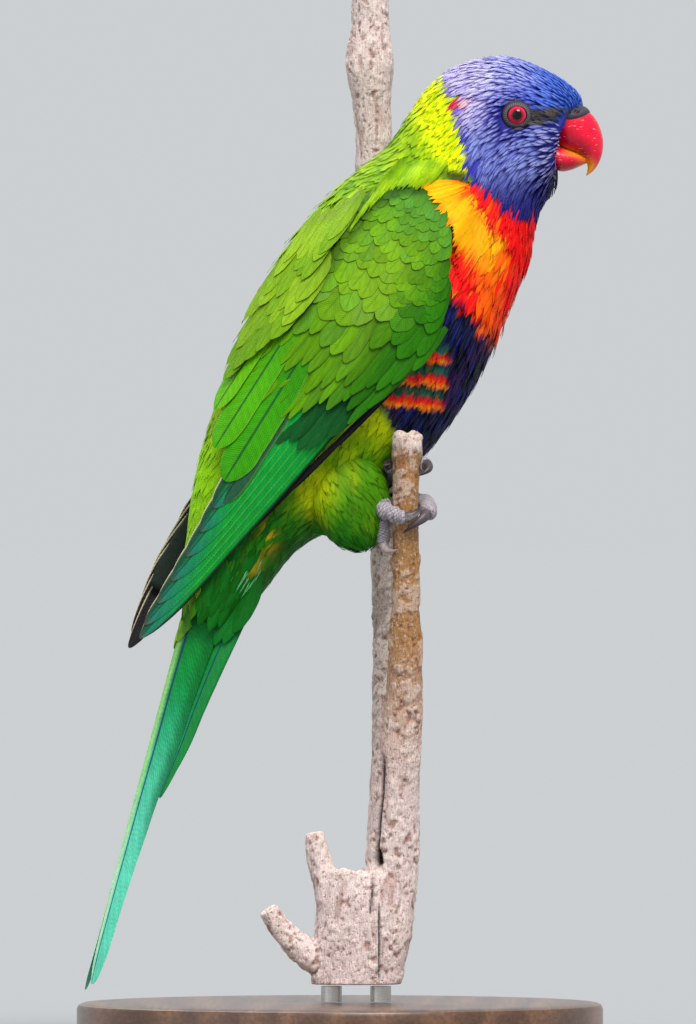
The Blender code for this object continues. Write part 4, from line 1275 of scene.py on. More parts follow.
def build_fringes():
    for label, lines, count, paint_at, slot in (
            ("breast", BREAST_FRINGE, 260, breast_at, "body_feathers"),
            ("mantle", MANTLE_FRINGE, 170, plumage, "wing_feathers")):
        for name, side in SIDES:
            q = np.sort(dice.uniform(-0.15, len(lines) - 1, count))
            early = dice.uniform(0, 1, count)
            made = grow(hung(side, lines), side, -0.28 * early, q, dice.uniform(12.5, 14.5, count),
                        dice.uniform(2, 2.8, count), yaw=dice.normal(0, 0.07, count), sink=-0.6,
                        rise=0.15 * dice.uniform(size=count), blunt=0.3, rows=9, columns=3, fray=0,
                        cup=0.1)
            luck = dice.uniform(size=(count, 3))
            root_uv = np.stack([0.1 + 0.1 * q, 0.3 + 0.2 * early], 1)
            lot = (made, body_tints(made, luck, paint_at), baking_patches(made, root_uv))
            feather_piece(f"{label}_fringe_{name}", [lot], BODY_FEATHER)


build_fringes()

# %% [markdown]
# ## Flight feathers
# Seven primaries make the long pointed hand of the folded wing. The outermost is the longest and
# lies deepest; each next one lies on it and shows a narrow strip with a light edge. The last
# broad feathers of the arm cover their bases, and narrow black feathers stiffen the leading edge.

# %% Tables of the flight feathers
PRIMARY_TIPS = np.array([(150.3, 1), (146, 1.9), (138.5, 2.3), (130.5, 2.6), (122, 3),
                         (113.5, 3.6), (105.5, 4.2)])
ARM_FEATHERS = np.array([
    # root along, root across, tip along, tip across, width, height
    [60, 4, 103, 2.4, 8, -0.9], [50, 7.5, 97, 5, 11.5, -0.6],
    [46, 14.5, 91, 12.4, 10.5, -0.4], [42, 20, 82, 18.6, 8, -0.2]])
EDGE_FEATHERS = np.array([
    # root along, root across, tip along, tip across
    [26, -20.6, 56, -18.4], [42, -21.6, 74, -14.6], [56, -18.2, 90, -11.8], [70, -15.2, 108, -8.2],
    [84, -12.8, 128, -3.9]])
PRIMARY_GREEN, PRIMARY_TEAL, ARM_DARK = paint(10, 152, 54), paint(34, 116, 100), paint(40, 88, 62)
LIGHT_EDGE, CREAM, NEAR_BLACK = paint(138, 204, 70), paint(226, 216, 180), paint(18, 12, 18)
UNDERSIDE = paint(34, 28, 33)


# %% Vanes that run straight
def straight(side, ends, width, height, **shape):
    """Feathers that run from root to tip, both given as places along and across the wing."""
    run = ends[:, 2:4] - ends[:, 0:2]
    return grow(wing(side), side, ends[:, 0], ends[:, 1], np.hypot(*run.T), width,
                yaw=np.arctan2(run[:, 1], run[:, 0]), sink=height - 0.5, rise=height, rows=40,
                columns=13, thick=0.28, point=0.02, **shape)


def primary_tints(made):
    """Green that turns teal to the tip, dark on the half that lies under the next feather, with
    a light edge below and a cream one above. The outermost is black along its lower edge."""
    colour = np.broadcast_to(PRIMARY_GREEN, (*made["shape"], 3))
    u, v = leaf_marks(made)
    colour = blend(colour, PRIMARY_TEAL, ramp(u, 0.7, 1))
    colour = blend(colour, ARM_DARK * 0.5, 0.85 * ramp(v, -0.1, 0.4))
    colour = blend(colour, paint(92, 62, 60), 0.8 * ramp(u, 0.95, 1))
    colour = blend(colour, paint(92, 184, 64), 0.6 * ramp(-v, 0.84, 0.94) * ramp(0.95 - u, 0, 0.25))
    colour = blend(colour, CREAM, 0.9 * ramp(v, 0.82, 0.94) * ramp(u, 0.3, 0.5))
    black = ramp(-v, 0.76, 0.86)
    black[1:] = 0
    colour = blend(colour, NEAR_BLACK, black)
    return np.where(made["top"][..., None] > 0, colour, UNDERSIDE)


# %% Flight feathers in place
def build_flight():
    k = np.arange(len(PRIMARY_TIPS))
    arm_base = np.array([ARM_DARK, paint(56, 152, 6), paint(76, 166, 6), paint(98, 180, 8)])
    for name, side in SIDES:
        tips = PRIMARY_TIPS + (6.5 * (side > 0), 0)
        hand = straight(side, np.column_stack([66 + 0 * k, -11.2 + 2.3 * k, tips]), 7.4,
                        -2.05 + 0.2 * k, tilt=0.1, bend=-0.012, blunt=0.7, root=0.75, cup=0.03,
                        fray=0.008)
        arm = straight(side, ARM_FEATHERS, ARM_FEATHERS[:, 4], ARM_FEATHERS[:, 5], tilt=0.2,
                       blunt=0.78, root=0.6, cup=0.05, fray=0.015)
        rim = straight(side, EDGE_FEATHERS, 1.8, -2.3 - 0.1 * np.arange(5), blunt=0.6, root=0.6,
                       cup=0.1, fray=0.02)
        arm_tint = leaf_tints(arm, arm_base, rim=0.8, edge=LIGHT_EDGE, edge_from=0.9, edge_share=0.35,
                              under=UNDERSIDE)
        rim_tint = leaf_tints(rim, np.tile(NEAR_BLACK, (5, 1)), rim=1, under=NEAR_BLACK)
        lots = ((hand, primary_tints(hand), (0, 0)), (arm, arm_tint, (0.5, 0)), (rim, rim_tint, (0, 0.5)))
        lots = [(made, tint, baking_cells(made) * 0.48 + shift) for made, tint, shift in lots]
        feather_piece(f"flight_{name}", lots, FLIGHT_FEATHER, (f"primaries_{name}",))


build_flight()

# %% [markdown]
# ## Tail
# Twelve long feathers close into a tent: the middle pair is the longest and lies on top, and
# each pair beside it is shorter and lies lower. In section the tent drops with its distance from
# the ridge. Softer coverts lie over its root.

# %% The tail's tent
TAIL_ROOT, TAIL_TIP = np.array([-45.8, 119]), np.array([-73, 15.9])
TAIL_KNOTS = [0, 10, 22, 31, 42, 51, 60, 74, 86, 98, 104, 106.6]
TAIL_DEEP = [15.6, 13.8, 12, 11, 9.2, 7.8, 6.9, 5.4, 4.5, 3.9, 3.7, 3.5]
TAIL_HALF = [8.6, 8.2, 7.6, 7.1, 6.4, 5.9, 5.4, 4.6, 3.9, 3.2, 2.7, 2.4]
SHAFT_OFF = 0.28
TAIL_PAIRS = (
    # middle of the vane from the ridge to the side, length, width half way along, bluntness
    (0.37, 106.6, 9.4, 0.88), (0.41, 101, 9.5, 0.8), (0.86, 50, 5.8, 0.62), (0.9, 45, 5, 0.62),
    (0.92, 37, 4.4, 0.62), (0.95, 29, 3.3, 0.62))
TAIL_GREEN, TAIL_MIDDLE, TAIL_TEAL = paint(10, 126, 48), paint(18, 150, 96), paint(92, 200, 172)
TAIL_EDGE = paint(158, 218, 130)


def tail(along, share):
    """The ridge line, then down by deep * |share|^1.35 and sideways by half * share. Along is
    the distance from the tail's root, and share runs from -1 to 1 across it."""
    axis = unit(TAIL_TIP - TAIL_ROOT)
    down = np.array([-axis[1], axis[0]])
    deep = np.maximum(curve_through(TAIL_KNOTS, TAIL_DEEP, along), 0.8)
    half = np.maximum(curve_through(TAIL_KNOTS, TAIL_HALF, along), 0.6)
    flat = TAIL_ROOT + along[..., None] * axis + (deep * np.abs(share) ** 1.35)[..., None] * down
    return np.stack([flat[..., 0], half * share, flat[..., 1]], axis=-1)


# %% Tail feathers
def build_tail():
    """The longest feather of the far side is narrower, shows past the near one, and ends beyond
    it; the near one's tip bends aside a little."""
    pairs = np.array([(side * share, *rest) for share, *rest in TAIL_PAIRS for side in (-1, 1)])
    order = np.repeat(np.arange(len(TAIL_PAIRS)), 2)
    pairs[1, :3] = 0.22, 108.6, 6.4
    hidden = 16
    side = np.sign(pairs[:, 0])
    bend = np.where((order < 1) & (side < 0), 0.024, 0)
    depth = np.array([0, 0.35, 0.7, 0.95, 1.2, 1.45])[order]
    made = grow(tail, -1, np.full(12, -hidden), pairs[:, 0], pairs[:, 1] + hidden, pairs[:, 2],
                bend=bend * side, sink=-0.35 - depth, rise=-0.1 - depth, tilt=0.06 * side, cup=0.05,
                blunt=pairs[:, 3], root=0.9, thick=0.3, rows=60, columns=11, fray=0.006, point=0.015)
    u, v = leaf_marks(made)
    reach = u * (pairs[:, 1] + hidden)[:, None, None] - hidden
    outward = v * side[:, None, None]
    under = (order > 1)[:, None, None]
    colour = blend(TAIL_GREEN, TAIL_MIDDLE, ramp(reach, 5, 40))
    colour = blend(colour, TAIL_TEAL, ramp(reach, 15, 70) * 0.95)
    # Painted shade: the top pair's outer halves are darkened beside the groove where the next pair lies
    # lower, fading towards the tip.
    groove = ramp(outward, 0.35, 0.95) * (1 - ramp(reach, 45, 75)) * (1 - under)
    colour = blend(colour, paint(4, 84, 30), 0.75 * groove)
    colour = blend(colour, paint(26, 122, 56), 0.95 * under * ramp(outward, -0.6, 0.2))
    inner = ramp(-outward, SHAFT_OFF + 0.04, SHAFT_OFF + 0.35) * (1 - under)
    colour = blend(colour, blend(TAIL_EDGE, paint(196, 226, 190), ramp(reach, 40, 90)), 0.75 * inner)
    maps = baking_cells(made)
    shifted = on_grid(made, "marks").copy()
    shifted[:4, ..., 1] += SHAFT_OFF * side[:4, None, None]
    made["marks"] = shifted.reshape(-1, 3)
    colour = np.where(made["top"][..., None] > 0, colour, colour * 0.45 + UNDERSIDE * 0.4)
    feather_piece("tail_feathers", [(made, colour, maps)], TAIL_FEATHER, ("tail",))


# %% Coverts and wisps of the tail
def body_end_coverts():
    """Long smooth feathers on the end of the body: lime above, deep green below, where the green is
    darkened by painted shade, with a few gold patches."""
    roots = scatter(body, (12.9, BODY_END), 3.6, 2.9)
    count = len(roots)
    luck = dice.uniform(size=(count, 3))
    start = body(*roots.T)
    made = grow(body, 1, *roots.T, dice.uniform(14.5, 17.5, count), dice.uniform(4.2, 6, count),
                yaw=dice.normal(0, 0.05, count), sink=-0.6, rise=0.2 * luck[:, 0], tilt=0.04, blunt=0.45,
                root=0.5, thick=0.12, rows=14, fray=0.03, point=0.02)
    above = ramp(0.22 * (start[:, 2] - 150) - start[:, 0] - 34, 0, 2.4)
    # The deep green below is partly the feathers' own and partly painted shade.
    base = blend(paint(4, 80, 2), paint(10, 104, 22), luck[:, 1])
    base = blend(base, RUMP, above * ramp(BODY_END - roots[:, 0], 0, 0.8))
    tint = leaf_tints(made, base, rim=0.93, tip=1.05)
    at = on_grid(made, "points")
    gold = (np.exp(-((at[..., 0] + 20.5) / 2.6) ** 2 - ((at[..., 2] - 145) / 4.5) ** 2)
            + 0.8 * np.exp(-((at[..., 0] + 24.5) / 2) ** 2 - ((at[..., 2] - 137) / 3.5) ** 2))
    gold = np.clip(gold, 0, 1) * 0.8 * ramp(luck[:, 2], 0.2, 0.5)[:, None, None]
    return made, blend(tint, paint(214, 170, 20), gold), baking_patches(made, skin_map(*roots.T))


def tail_root_coverts():
    """The same kind of feathers on the root of the tail itself, longest and lightest on its ridge."""
    along, share = np.meshgrid(np.arange(-22, -13, 3.2), np.linspace(-0.95, 0.95, 11), indexing="ij")
    along = (along + dice.uniform(-1.5, 1.5, along.shape)).ravel()
    share = (share + dice.uniform(-0.05, 0.05, share.shape)).ravel()
    count = len(along)
    luck = dice.uniform(size=(count, 3))
    ridge = ramp(0.28 - np.abs(share), 0, 0.2)
    made = grow(tail, -1, along, share, dice.uniform(14, 18, count) + 7 * ridge,
                dice.uniform(4.4, 6, count), yaw=dice.normal(0, 0.03, count), sink=-0.3,
                rise=0.25 + 0.15 * luck[:, 0], blunt=0.5, root=0.5, thick=0.12, rows=14, fray=0.02,
                point=0.02)
    # The same deep green, partly the feathers' own and partly painted shade.
    base = blend(paint(4, 84, 10), paint(10, 106, 34), luck[:, 1])
    base = blend(base, paint(148, 204, 62), ridge)
    root_uv = np.stack([0.5 + 0.4 * share, 0.2 + 0.6 * (along + 14) / 28], 1)
    return made, leaf_tints(made, base, rim=0.9, tip=1.05), baking_patches(made, root_uv)


def pale_wisps(count=9):
    roots = np.stack([dice.uniform(13.8, 14.6, count), dice.uniform(1.95, 2.35, count)], axis=1)
    made = grow(body, 1, *roots.T, dice.uniform(8, 16, count), dice.uniform(0.35, 0.6, count),
                yaw=dice.normal(0, 0.09, count), bend=dice.normal(0, 0.07, count), sink=-0.3, rise=0.6,
                blunt=0.3, root=0.6, rows=14, fray=0.3)
    tint = leaf_tints(made, np.tile(paint(96, 176, 120), (count, 1)), rim=1)
    return made, tint, baking_patches(made, skin_map(*roots.T))


build_tail()
feather_piece("tail_coverts", [body_end_coverts(), tail_root_coverts(), pale_wisps()], COVERT_FEATHER)

# %% [markdown]
# ## Bill and cere
# The bill is horn: deep red, glossy, and orange at its thin tip and cutting edges. Its outline
# is a list of pairs, one point on the ridge and one on the cutting edge, carried through a
# smooth curve. Between it and the forehead lies the cere, soft grey skin with two nostrils.

# %% Outlines of the bill
UPPER_BILL = np.array([
    # ridge X, ridge Z, edge X, edge Z, half width
    [62, 267.5, 57.5, 261.5, 5.4], [66, 267.6, 60.5, 260, 6.3], [69.2, 266.9, 61.6, 257.6, 6.5],
    [71.8, 265.2, 63.4, 255.6, 6.2], [73.7, 262.4, 65.9, 254.7, 5.6], [74.9, 258.6, 68.2, 253.7, 4.7],
    [74.9, 254.8, 69.7, 252.3, 3.5], [73.9, 251.6, 70.5, 250.6, 2.3], [72.3, 249.2, 70.5, 249.1, 1.2],
    [70.5, 247.8, 70.1, 247.7, 0.3]])
LOWER_BILL = np.array([
    [58, 256.5, 58, 250.2, 4.9], [61.5, 256.4, 61.5, 249.4, 5.5], [63.4, 256, 63.4, 248.9, 5.3],
    [65.8, 255.2, 66, 249.4, 4.6], [68.2, 254.2, 68.4, 250.4, 3.5], [70.2, 252.9, 70.3, 251.3, 1.9]])
BILL_ROWS, BILL_RING = 64, 56
HORN_RED, HORN_DEEP, HORN_ORANGE = paint(232, 0, 52), paint(150, 0, 24), paint(255, 160, 10)


def bill_points(rows):
    """Each ring spans its pair: middle + half the pair * cos, half width * sin to the power 0.9,
    so the ridge is a little keeled."""
    fine = curve_through(np.arange(len(rows)), rows, np.linspace(0, len(rows) - 1, BILL_ROWS))
    turn = circle(BILL_RING)
    top, bottom, half = fine[:, 0:2], fine[:, 2:4], fine[:, 4]
    flat = ((top + bottom) / 2)[:, None] + ((top - bottom) / 2)[:, None] * np.cos(turn)[None, :, None]
    swell = np.sign(np.sin(turn)) * np.abs(np.sin(turn)) ** 0.9
    side = -half[:, None] * swell[None]
    return np.stack([flat[..., 0], side, flat[..., 1]], axis=-1), turn


# %% Horn
def horn():
    """Clouded red, with fine scratches along the bill that catch the light."""
    made, tree, shader = new_material("horn", Roughness=0.32, Specular_IOR_Level=0.3, Coat_Weight=0.2,
                                      Coat_Roughness=0.12, Subsurface_Weight=0.08,
                                      Subsurface_Scale=0.002)
    place = tree.place()
    cloud = tree.spread(tree.noise(place, 420, 4), 0.35, 0.7, 1, 0.72)
    scratches = tree.noise(tree.stretched(place, (420, 800, 3000)), 1, 4, 0.6)
    flecks = tree.spread(scratches, 0.645, 0.69, 0, 0.8)
    colour = tree.mix(flecks, tree.dimmed(tree.tint(), cloud), (0.9, 0.55, 0.42, 1))
    tree.finish(shader, colour, scratches, 0.12, 0.0002)
    return made


def build_bill():
    material = horn()
    for name, rows in (("bill_upper", UPPER_BILL), ("bill_lower", LOWER_BILL)):
        points, turn = bill_points(rows)
        share = np.broadcast_to(np.linspace(0, 1, BILL_ROWS)[:, None], points.shape[:2])
        low = np.broadcast_to(-np.cos(turn)[None], points.shape[:2])
        colour = blend(HORN_RED, HORN_DEEP, ramp(low, -0.2, 0.9) * 0.55)
        if name == "bill_upper":
            orange = ramp(share + 0.12 * low, 0.66, 0.88)
            orange = orange + 0.8 * ramp(low, 0.8, 0.98) * ramp(share, 0.2, 0.4)
        else:
            orange = 0.9 * ramp(-low, 0, 0.8) * ramp(share, 0.3, 0.7) + 0.5 * ramp(share, 0.6, 1)
        colour = blend(colour, HORN_ORANGE, np.clip(orange, 0, 1))
        uv = 0.02 + 0.96 * np.stack([share, turn / (2 * np.pi) + 0 * share], -1)
        make_piece(name + "_horn", points.reshape(-1, 3), tube_faces(BILL_ROWS, BILL_RING), material,
                   (name,), tint=colour.reshape(-1, 3), uv=uv.reshape(-1, 2))


# %% Cere
def ball(rows=40, ring=48, ends=0.02):
    """Unit directions over a ball: an angle down from the pole, and one round it."""
    return direction(*np.meshgrid(np.linspace(ends, np.pi - ends, rows), circle(ring), indexing="ij"))


CERE_MIDDLE, CERE_RADII, CERE_LEAN = (65.7, 0, 264.7), (5.7, 6.9, 2.9), (0.97, 0.22)
NOSTRIL_X, NOSTRIL_Z, NOSTRIL_DEPTH = 67.6, 266, 1.3


def build_cere():
    """A ball pressed flat and tipped back, with a nostril sunk on each side: hole is 1 in its
    middle."""
    made, tree, shader = new_material("bare_face", Roughness=0.6, Specular_IOR_Level=0.35)
    pores = tree.grain(2600, 0.7, 1.25)
    tree.finish(shader, tree.dimmed(tree.tint(), pores["Shade"]), pores["Noise"], 0.5, 0.0002)
    way = ball()
    x, y, z = np.moveaxis(way * CERE_RADII, -1, 0)
    c, s = CERE_LEAN
    points = np.stack([x * c - z * s, y, z * c + x * s], axis=-1) + CERE_MIDDLE
    hole = np.exp(-((points[..., 0] - NOSTRIL_X) ** 2 + (points[..., 2] - NOSTRIL_Z) ** 2) / 0.5)
    hole = hole * ramp(np.abs(points[..., 1]), 3, 4)
    points = points - unit(way) * (NOSTRIL_DEPTH * hole)[..., None]
    points = points + way * (0.12 * ripple(points, 2.4, 4))[..., None]
    tint = np.broadcast_to(paint(58, 56, 66), points.shape)
    # The nostrils are painted near black, a painted shade in their hollows.
    tint = blend(tint, paint(6, 4, 8), np.clip(hole * 1.8, 0, 1))
    flat = points.reshape(-1, 3)
    make_piece("cere", flat, tube_faces(*way.shape[:2]), made, tint=tint.reshape(-1, 3),
               uv=flat[:, [0, 2]] / 20 - (2.8, 12.8))
    return made


build_bill()
BARE_FACE = build_cere()

# %% [markdown]
# ## Eyes
# The eyeball is one ball whose front bulges over the iris, as a real cornea does. Its rings are
# painted by the angle from its axis: a dark pupil, a crimson iris with fine spokes, and a dark
# rim. A ring of small grey beads is the bare lid, and it holds the ball a little inside the head.

# %% Eyes
IRIS_ANGLE, PUPIL_ANGLE = math.asin(2.52 / EYE_RADIUS), math.asin(1.3 / EYE_RADIUS)


def build_eyes():
    made, tree, shader = new_material("eye", Roughness=0.04, Specular_IOR_Level=0.1, Coat_Weight=0.4,
                                      Coat_Roughness=0.01)
    tree.finish(shader, tree.tint())
    way = ball(90, 96, 0.004)
    angle = np.arccos(np.clip(way[..., 2], -1, 1))
    spokes = np.arctan2(way[..., 1], way[..., 0])
    for name, side in SIDES:
        radius = EYE_RADIUS - 0.05 + 0.28 * np.exp(-(angle / 0.62) ** 4)
        out = way * radius[..., None]
        points = np.stack([-side * out[..., 0], side * out[..., 2], out[..., 1]], axis=-1)
        points = points + EYE_MIDDLE * (1, side, 1)
        rays = 0.5 + 0.5 * np.sin(spokes * 34 + 2 * np.sin(spokes * 9))
        rosy = (0.5 + 0.5 * rays) * ramp(angle, PUPIL_ANGLE, IRIS_ANGLE)
        iris = blend(paint(140, 4, 36), paint(236, 40, 84), rosy)
        colour = blend(paint(10, 5, 8), iris, ramp(angle, PUPIL_ANGLE - 0.03, PUPIL_ANGLE + 0.03))
        ring = np.exp(-((angle - PUPIL_ANGLE - 0.07) / 0.05) ** 2)
        colour = blend(colour, paint(110, 20, 30), ring * 0.6)
        colour = blend(colour, paint(30, 14, 20), ramp(angle, IRIS_ANGLE - 0.04, IRIS_ANGLE + 0.05))
        flat = points.reshape(-1, 3)
        uv = way[..., :2].reshape(-1, 2) * 0.48 * (angle.reshape(-1, 1) / np.pi) + 0.5
        make_piece(f"eyeball_{name}", flat, tube_faces(*way.shape[:2]), made, (f"eye_{name}",),
                   tint=colour.reshape(-1, 3), uv=uv)
        build_lid(name, side)


# %% Lids
LID_PROFILE = np.array([(2.46, 2.2), (2.54, 2.56), (2.76, 2.62), (3.2, 2.42), (3.62, 2.16), (4.1, 1.7),
                        (4.6, 0.9)])


def build_lid(name, side, rows=44, ring=160):
    """A profile of (distance from the eye's axis, height along it) turned round the axis, drawn
    in a little at the top and bottom, with beads: bumps round the ring that fade at its borders."""
    share = np.linspace(0, 1, rows)
    profile = curve_through(np.linspace(0, 1, len(LID_PROFILE)), LID_PROFILE, share)
    turn = circle(ring)
    bead = np.abs(np.cos(turn * 17 + 4 * share[:, None])) * np.exp(-((share - 0.5) / 0.25) ** 2)[:, None]
    fold = np.cos(turn * 2 + 0.4)[None] * 0.05
    reach = profile[:, 0:1] * (1 + 0.08 * np.abs(np.cos(turn))[None] * (1 - share[:, None])) + fold
    height = profile[:, 1:2] + 0.16 * bead
    x, z = reach * np.cos(turn), reach * np.sin(turn) * 0.97
    top = np.stack([x, side * (height - 0.045 * x), z], axis=-1) + EYE_MIDDLE * (1, side, 1)
    colour = blend(paint(84, 80, 86), paint(32, 29, 38), np.clip(1 - bead * 1.2, 0, 1))
    colour = blend(colour, paint(14, 12, 20), ramp(0.34 - share, 0, 0.12)[:, None])
    faces = tube_faces(rows, ring, turned=side < 0, closed=False)
    flat = top.reshape(-1, 3)
    uv = np.stack([x, z], axis=-1).reshape(-1, 2) / 12 + 0.5
    make_piece(f"lid_{name}", flat, faces, BARE_FACE, tint=colour.reshape(-1, 3), uv=uv)


build_eyes()

# %% [markdown]
# ## Feet
# A lory's foot has two toes in front and two behind. Two in front and one behind are made here,
# and the second hind toe is left out. Each toe is a tube that runs round the perch, and two sets
# of fine grooves that cross on it leave small round scales between them. The claws carry on
# beyond the toes, hooked and pointed.

# %% Feet
STUB_PATH = np.array([
    # X, Y and Z of the middle line, and the radius
    [11.2, 0.2, 17.6, 6.4], [13.2, 0.2, 30, 7.1], [14.4, 0.1, 42, 7.5], [15.2, 0, 51, 7.4],
    [15.6, -1.4, 64, 7.1], [17, -4.6, 82, 6.2], [18.4, -8.4, 103, 5.4], [18.6, -12, 124, 4.2],
    [18.7, -15.4, 145, 3.75], [18.7, -17.3, 160, 3.6], [18.8, -17.9, 165, 3.65],
    [19.1, -18.5, 170, 4.5], [19.1, -18.8, 173.4, 4]])
STUB_LOBES = np.array([[17.1, -18.6, 169.6, 2], [17.1, -18.7, 172.6, 2.4], [17, -18.8, 174.4, 2],
                       [17, -18.8, 175.2, 0.9]])
TOE_RADIUS, TOE_END, CLAW_RADIUS, PALM_RADIUS = 2.3, 1.8, 1.25, 3.2
SHANK_RADII, TOE_ROWS, CLAW_ROWS = (2.3, 2.5), 150, 48
FEET = {
    # side: (grip height, palm bearing, ankle, toes as (bearings, rises, size), hind toe and claw)
    "right": (153, 180, (6, -15, 150.8),
              (((180, 224, 270, 330), (0.2, -1.2, -2.6, 0.8), 1.06),
               ((180, 75, -28, -98), (0.2, 1.8, -1.8, -7), 1.32)), (10, 3.6)),
    "left": (164, 105, (11, -2, 160),
             (((105, 126, 142, 180), (0, 0.6, 1.2, 1.6), 1),
              ((105, 62, 22, -32), (0, 0.8, 1.2, -1.8), 1.2)), (4.6, 3.2)),
}


# %% Paths of the toes
def stub_at(height):
    """The middle of the broken stub at a height, and how far from it a toe's skin may come."""
    at = curve_through(STUB_PATH[:, 2], STUB_PATH, height)
    return at[..., :2], at[..., 3] * 1.05 + 0.3


def round_stub(height, angle, off):
    """Places at an angle round the stub's middle line, and off by a distance from its bark."""
    middle, bark = stub_at(height)
    out = np.stack([np.cos(angle), np.sin(angle)], axis=-1) * np.asarray(bark + off)[..., None]
    return np.concatenate([middle + out, np.asarray(height)[..., None]], axis=-1)


def claw_stand_off(share):
    return TOE_END * (1 - share) + 0.2 * share + 0.9 * np.sin(share * np.pi)


def front_toe(grip, bearings, rises, size, count=90):
    """Middle line, radius and claw share of a toe that turns round the stub by its bearings."""
    bearing = np.linspace(bearings[0], bearings[3], count)
    turned = np.abs(bearing - bearings[0])
    knots = np.abs(np.array(bearings, float) - bearings[0])
    height = grip + curve_through(knots, rises, turned)
    share = np.clip(turned / knots[2], 0, 1)
    claw = np.clip((turned - knots[2]) / (knots[3] - knots[2]), 0, 1)
    radius = (TOE_RADIUS + (TOE_END - TOE_RADIUS) * share) * (1 + 0.07 * np.cos(share * 6 * np.pi)) * size
    off = np.where(claw > 0, claw_stand_off(claw) * size, radius)
    off = off + (PALM_RADIUS - off) * np.clip(1 - turned / 35, 0, 1)
    return round_stub(height, np.radians(bearing), off), radius, claw


def hind_toe(palm, grip, toe, nail, count=60):
    """The hind toe hangs from the palm along the stub, and its claw curls round the bark."""
    run = np.linspace(0, toe + nail, count)
    claw = np.clip((run - toe) / nail, 0, 1)
    share = np.clip(run / toe, 0, 1)
    radius = (TOE_RADIUS - 0.4 * share) * (1 + 0.06 * np.cos(share * 4 * np.pi))
    height = palm[2] - np.minimum(run, toe) - 2.2 * np.sin(2.3 * claw)
    away = palm[:2] - stub_at(np.array(grip))[0]
    bark = stub_at(height)[1]
    off = np.where(claw > 0, claw_stand_off(claw), radius)
    off = off + (np.linalg.norm(away) - bark - off) * (1 - share)
    turned = np.arctan2(away[1], away[0]) + np.radians(65) * claw
    return round_stub(height, turned, off), radius, claw


# %% Scaly skin
def tube(path, radius, ring, across=1):
    """Rings square to a path: radius * cos on its first side and radius * sin on its second."""
    ahead = unit(np.gradient(path, axis=0))
    first = np.cross(ahead, (0, 0, 1))
    flat = np.linalg.norm(first, axis=1) < 0.3
    first[flat] = np.cross(ahead[flat], (0, 1, 0))
    first = unit(first)
    turns_over = np.sum(first[1:] * first[:-1], axis=1) < 0
    first = first * np.cumprod(np.concatenate([[1], np.where(turns_over, -1, 1)]))[:, None]
    second = np.cross(first, ahead)
    turn = circle(ring)
    radius = np.broadcast_to(radius, (len(path),))[:, None]
    return (path[:, None] + first[:, None] * (np.cos(turn) * radius)[..., None]
            + second[:, None] * (np.sin(turn) * radius * across)[..., None]), turn


def scaly(path, radius, ring=48):
    """A toe: its tube swells between two sets of grooves that wind round it and cross."""
    along = lengths_along(path)
    points, turn = tube(path, radius, ring)
    uneven = grit(points.reshape(-1, 3), 1.5, 21).reshape(points.shape[:2])
    phase = np.pi * (along / 0.8)[:, None] + 3 * (uneven - 0.5)
    turned = 4 * turn[None] + 2 * (uneven - 0.5)
    plates = np.sqrt(np.abs(np.sin(phase + turned) * np.sin(phase - turned)))
    middle = path[:, None]
    swell = 0.94 + 0.1 * np.minimum(plates * 1.6, 1) + 0.05 * np.sin(along * 1.9)[:, None]
    points = middle + (points - middle) * swell[..., None]
    colour = blend(paint(62, 57, 64), paint(166, 158, 166), np.minimum(plates * 1.3, 1))
    return points, colour


# %% Toe helpers
def resampled(path, radius, count):
    """The same path with its points spread evenly by length."""
    along = lengths_along(path)
    at = np.linspace(0, along[-1], count)
    return np.stack([np.interp(at, along, line) for line in path.T], axis=1), np.interp(at, along, radius)


def round_ended(radius):
    """Radii that close over the last part of a toe: r * sqrt(1 - x^2), and never to a point."""
    past = ((np.linspace(0, 1, len(radius)) - 0.93) / 0.08).clip(0, 1)
    return radius * np.sqrt(np.clip(1 - past ** 2, 0.05, 1))


def foot_materials():
    scale, tree, shader = new_material("scaly_skin", Roughness=0.55, Specular_IOR_Level=0.4)
    cells = tree.add("ShaderNodeTexVoronoi", {"Vector": tree.place(), "Scale": 1500},
                     feature="DISTANCE_TO_EDGE")
    grain = tree.spread(cells.outputs["Distance"], 0, 0.12, 0.72, 1.08)
    tree.finish(shader, tree.dimmed(tree.tint(), grain), grain, 0.5, 0.0002)
    nail, tree, shader = new_material("claw_horn", Roughness=0.42, Specular_IOR_Level=0.35)
    tree.finish(shader, tree.dimmed(tree.tint(), tree.grain(1500, 0.75, 1.3, 4)["Shade"]))
    return scale, nail


# %% Feet and claws
def foot_map(points):
    return points[:, [0, 2]] / 60 + (0.2, -2.2)


def build_feet():
    scale, nail = foot_materials()
    for name, (grip, bearing, ankle, toes, hind) in FEET.items():
        palm = round_stub(np.array(grip), math.radians(bearing), PALM_RADIUS)
        lines = [front_toe(grip, *toe) for toe in toes] + [hind_toe(palm, grip, *hind)]
        shank = np.linspace(np.array(ankle) + (np.array(ankle) - palm) * 0.6, palm, 40)
        parts = [(shank, np.linspace(*SHANK_RADII, len(shank)))]
        for path, radius, claw in lines:
            fine, thick = resampled(path[claw == 0], radius[claw == 0], TOE_ROWS)
            parts.append((fine, round_ended(thick)))
        grids, tints = zip(*[scaly(path, radius) for path, radius in parts])
        pad = ball() * PALM_RADIUS * (1, 1, 1.05)
        bumps = ripple(pad, 1.5, 2)
        tints += (blend(paint(70, 66, 74), paint(146, 140, 148), ramp(bumps, -0.5, 0.5)),)
        grids += (pad * (1 + 0.04 * bumps)[..., None] + palm,)
        points, faces = joined_tubes(grids, [True] * len(parts) + [False])
        make_piece(f"foot_{name}_scales", points, faces, scale, (f"foot_{name}",),
                   tint=np.concatenate([tint.reshape(-1, 3) for tint in tints]), uv=foot_map(points))
        build_claws(name, lines, nail)


FRONT_CLAW = (paint(84, 74, 82), paint(34, 28, 34))
# The hind claw is pale near the toe, partly its own colour and partly a painted highlight.
HIND_CLAW = (paint(184, 170, 172), paint(112, 86, 86))


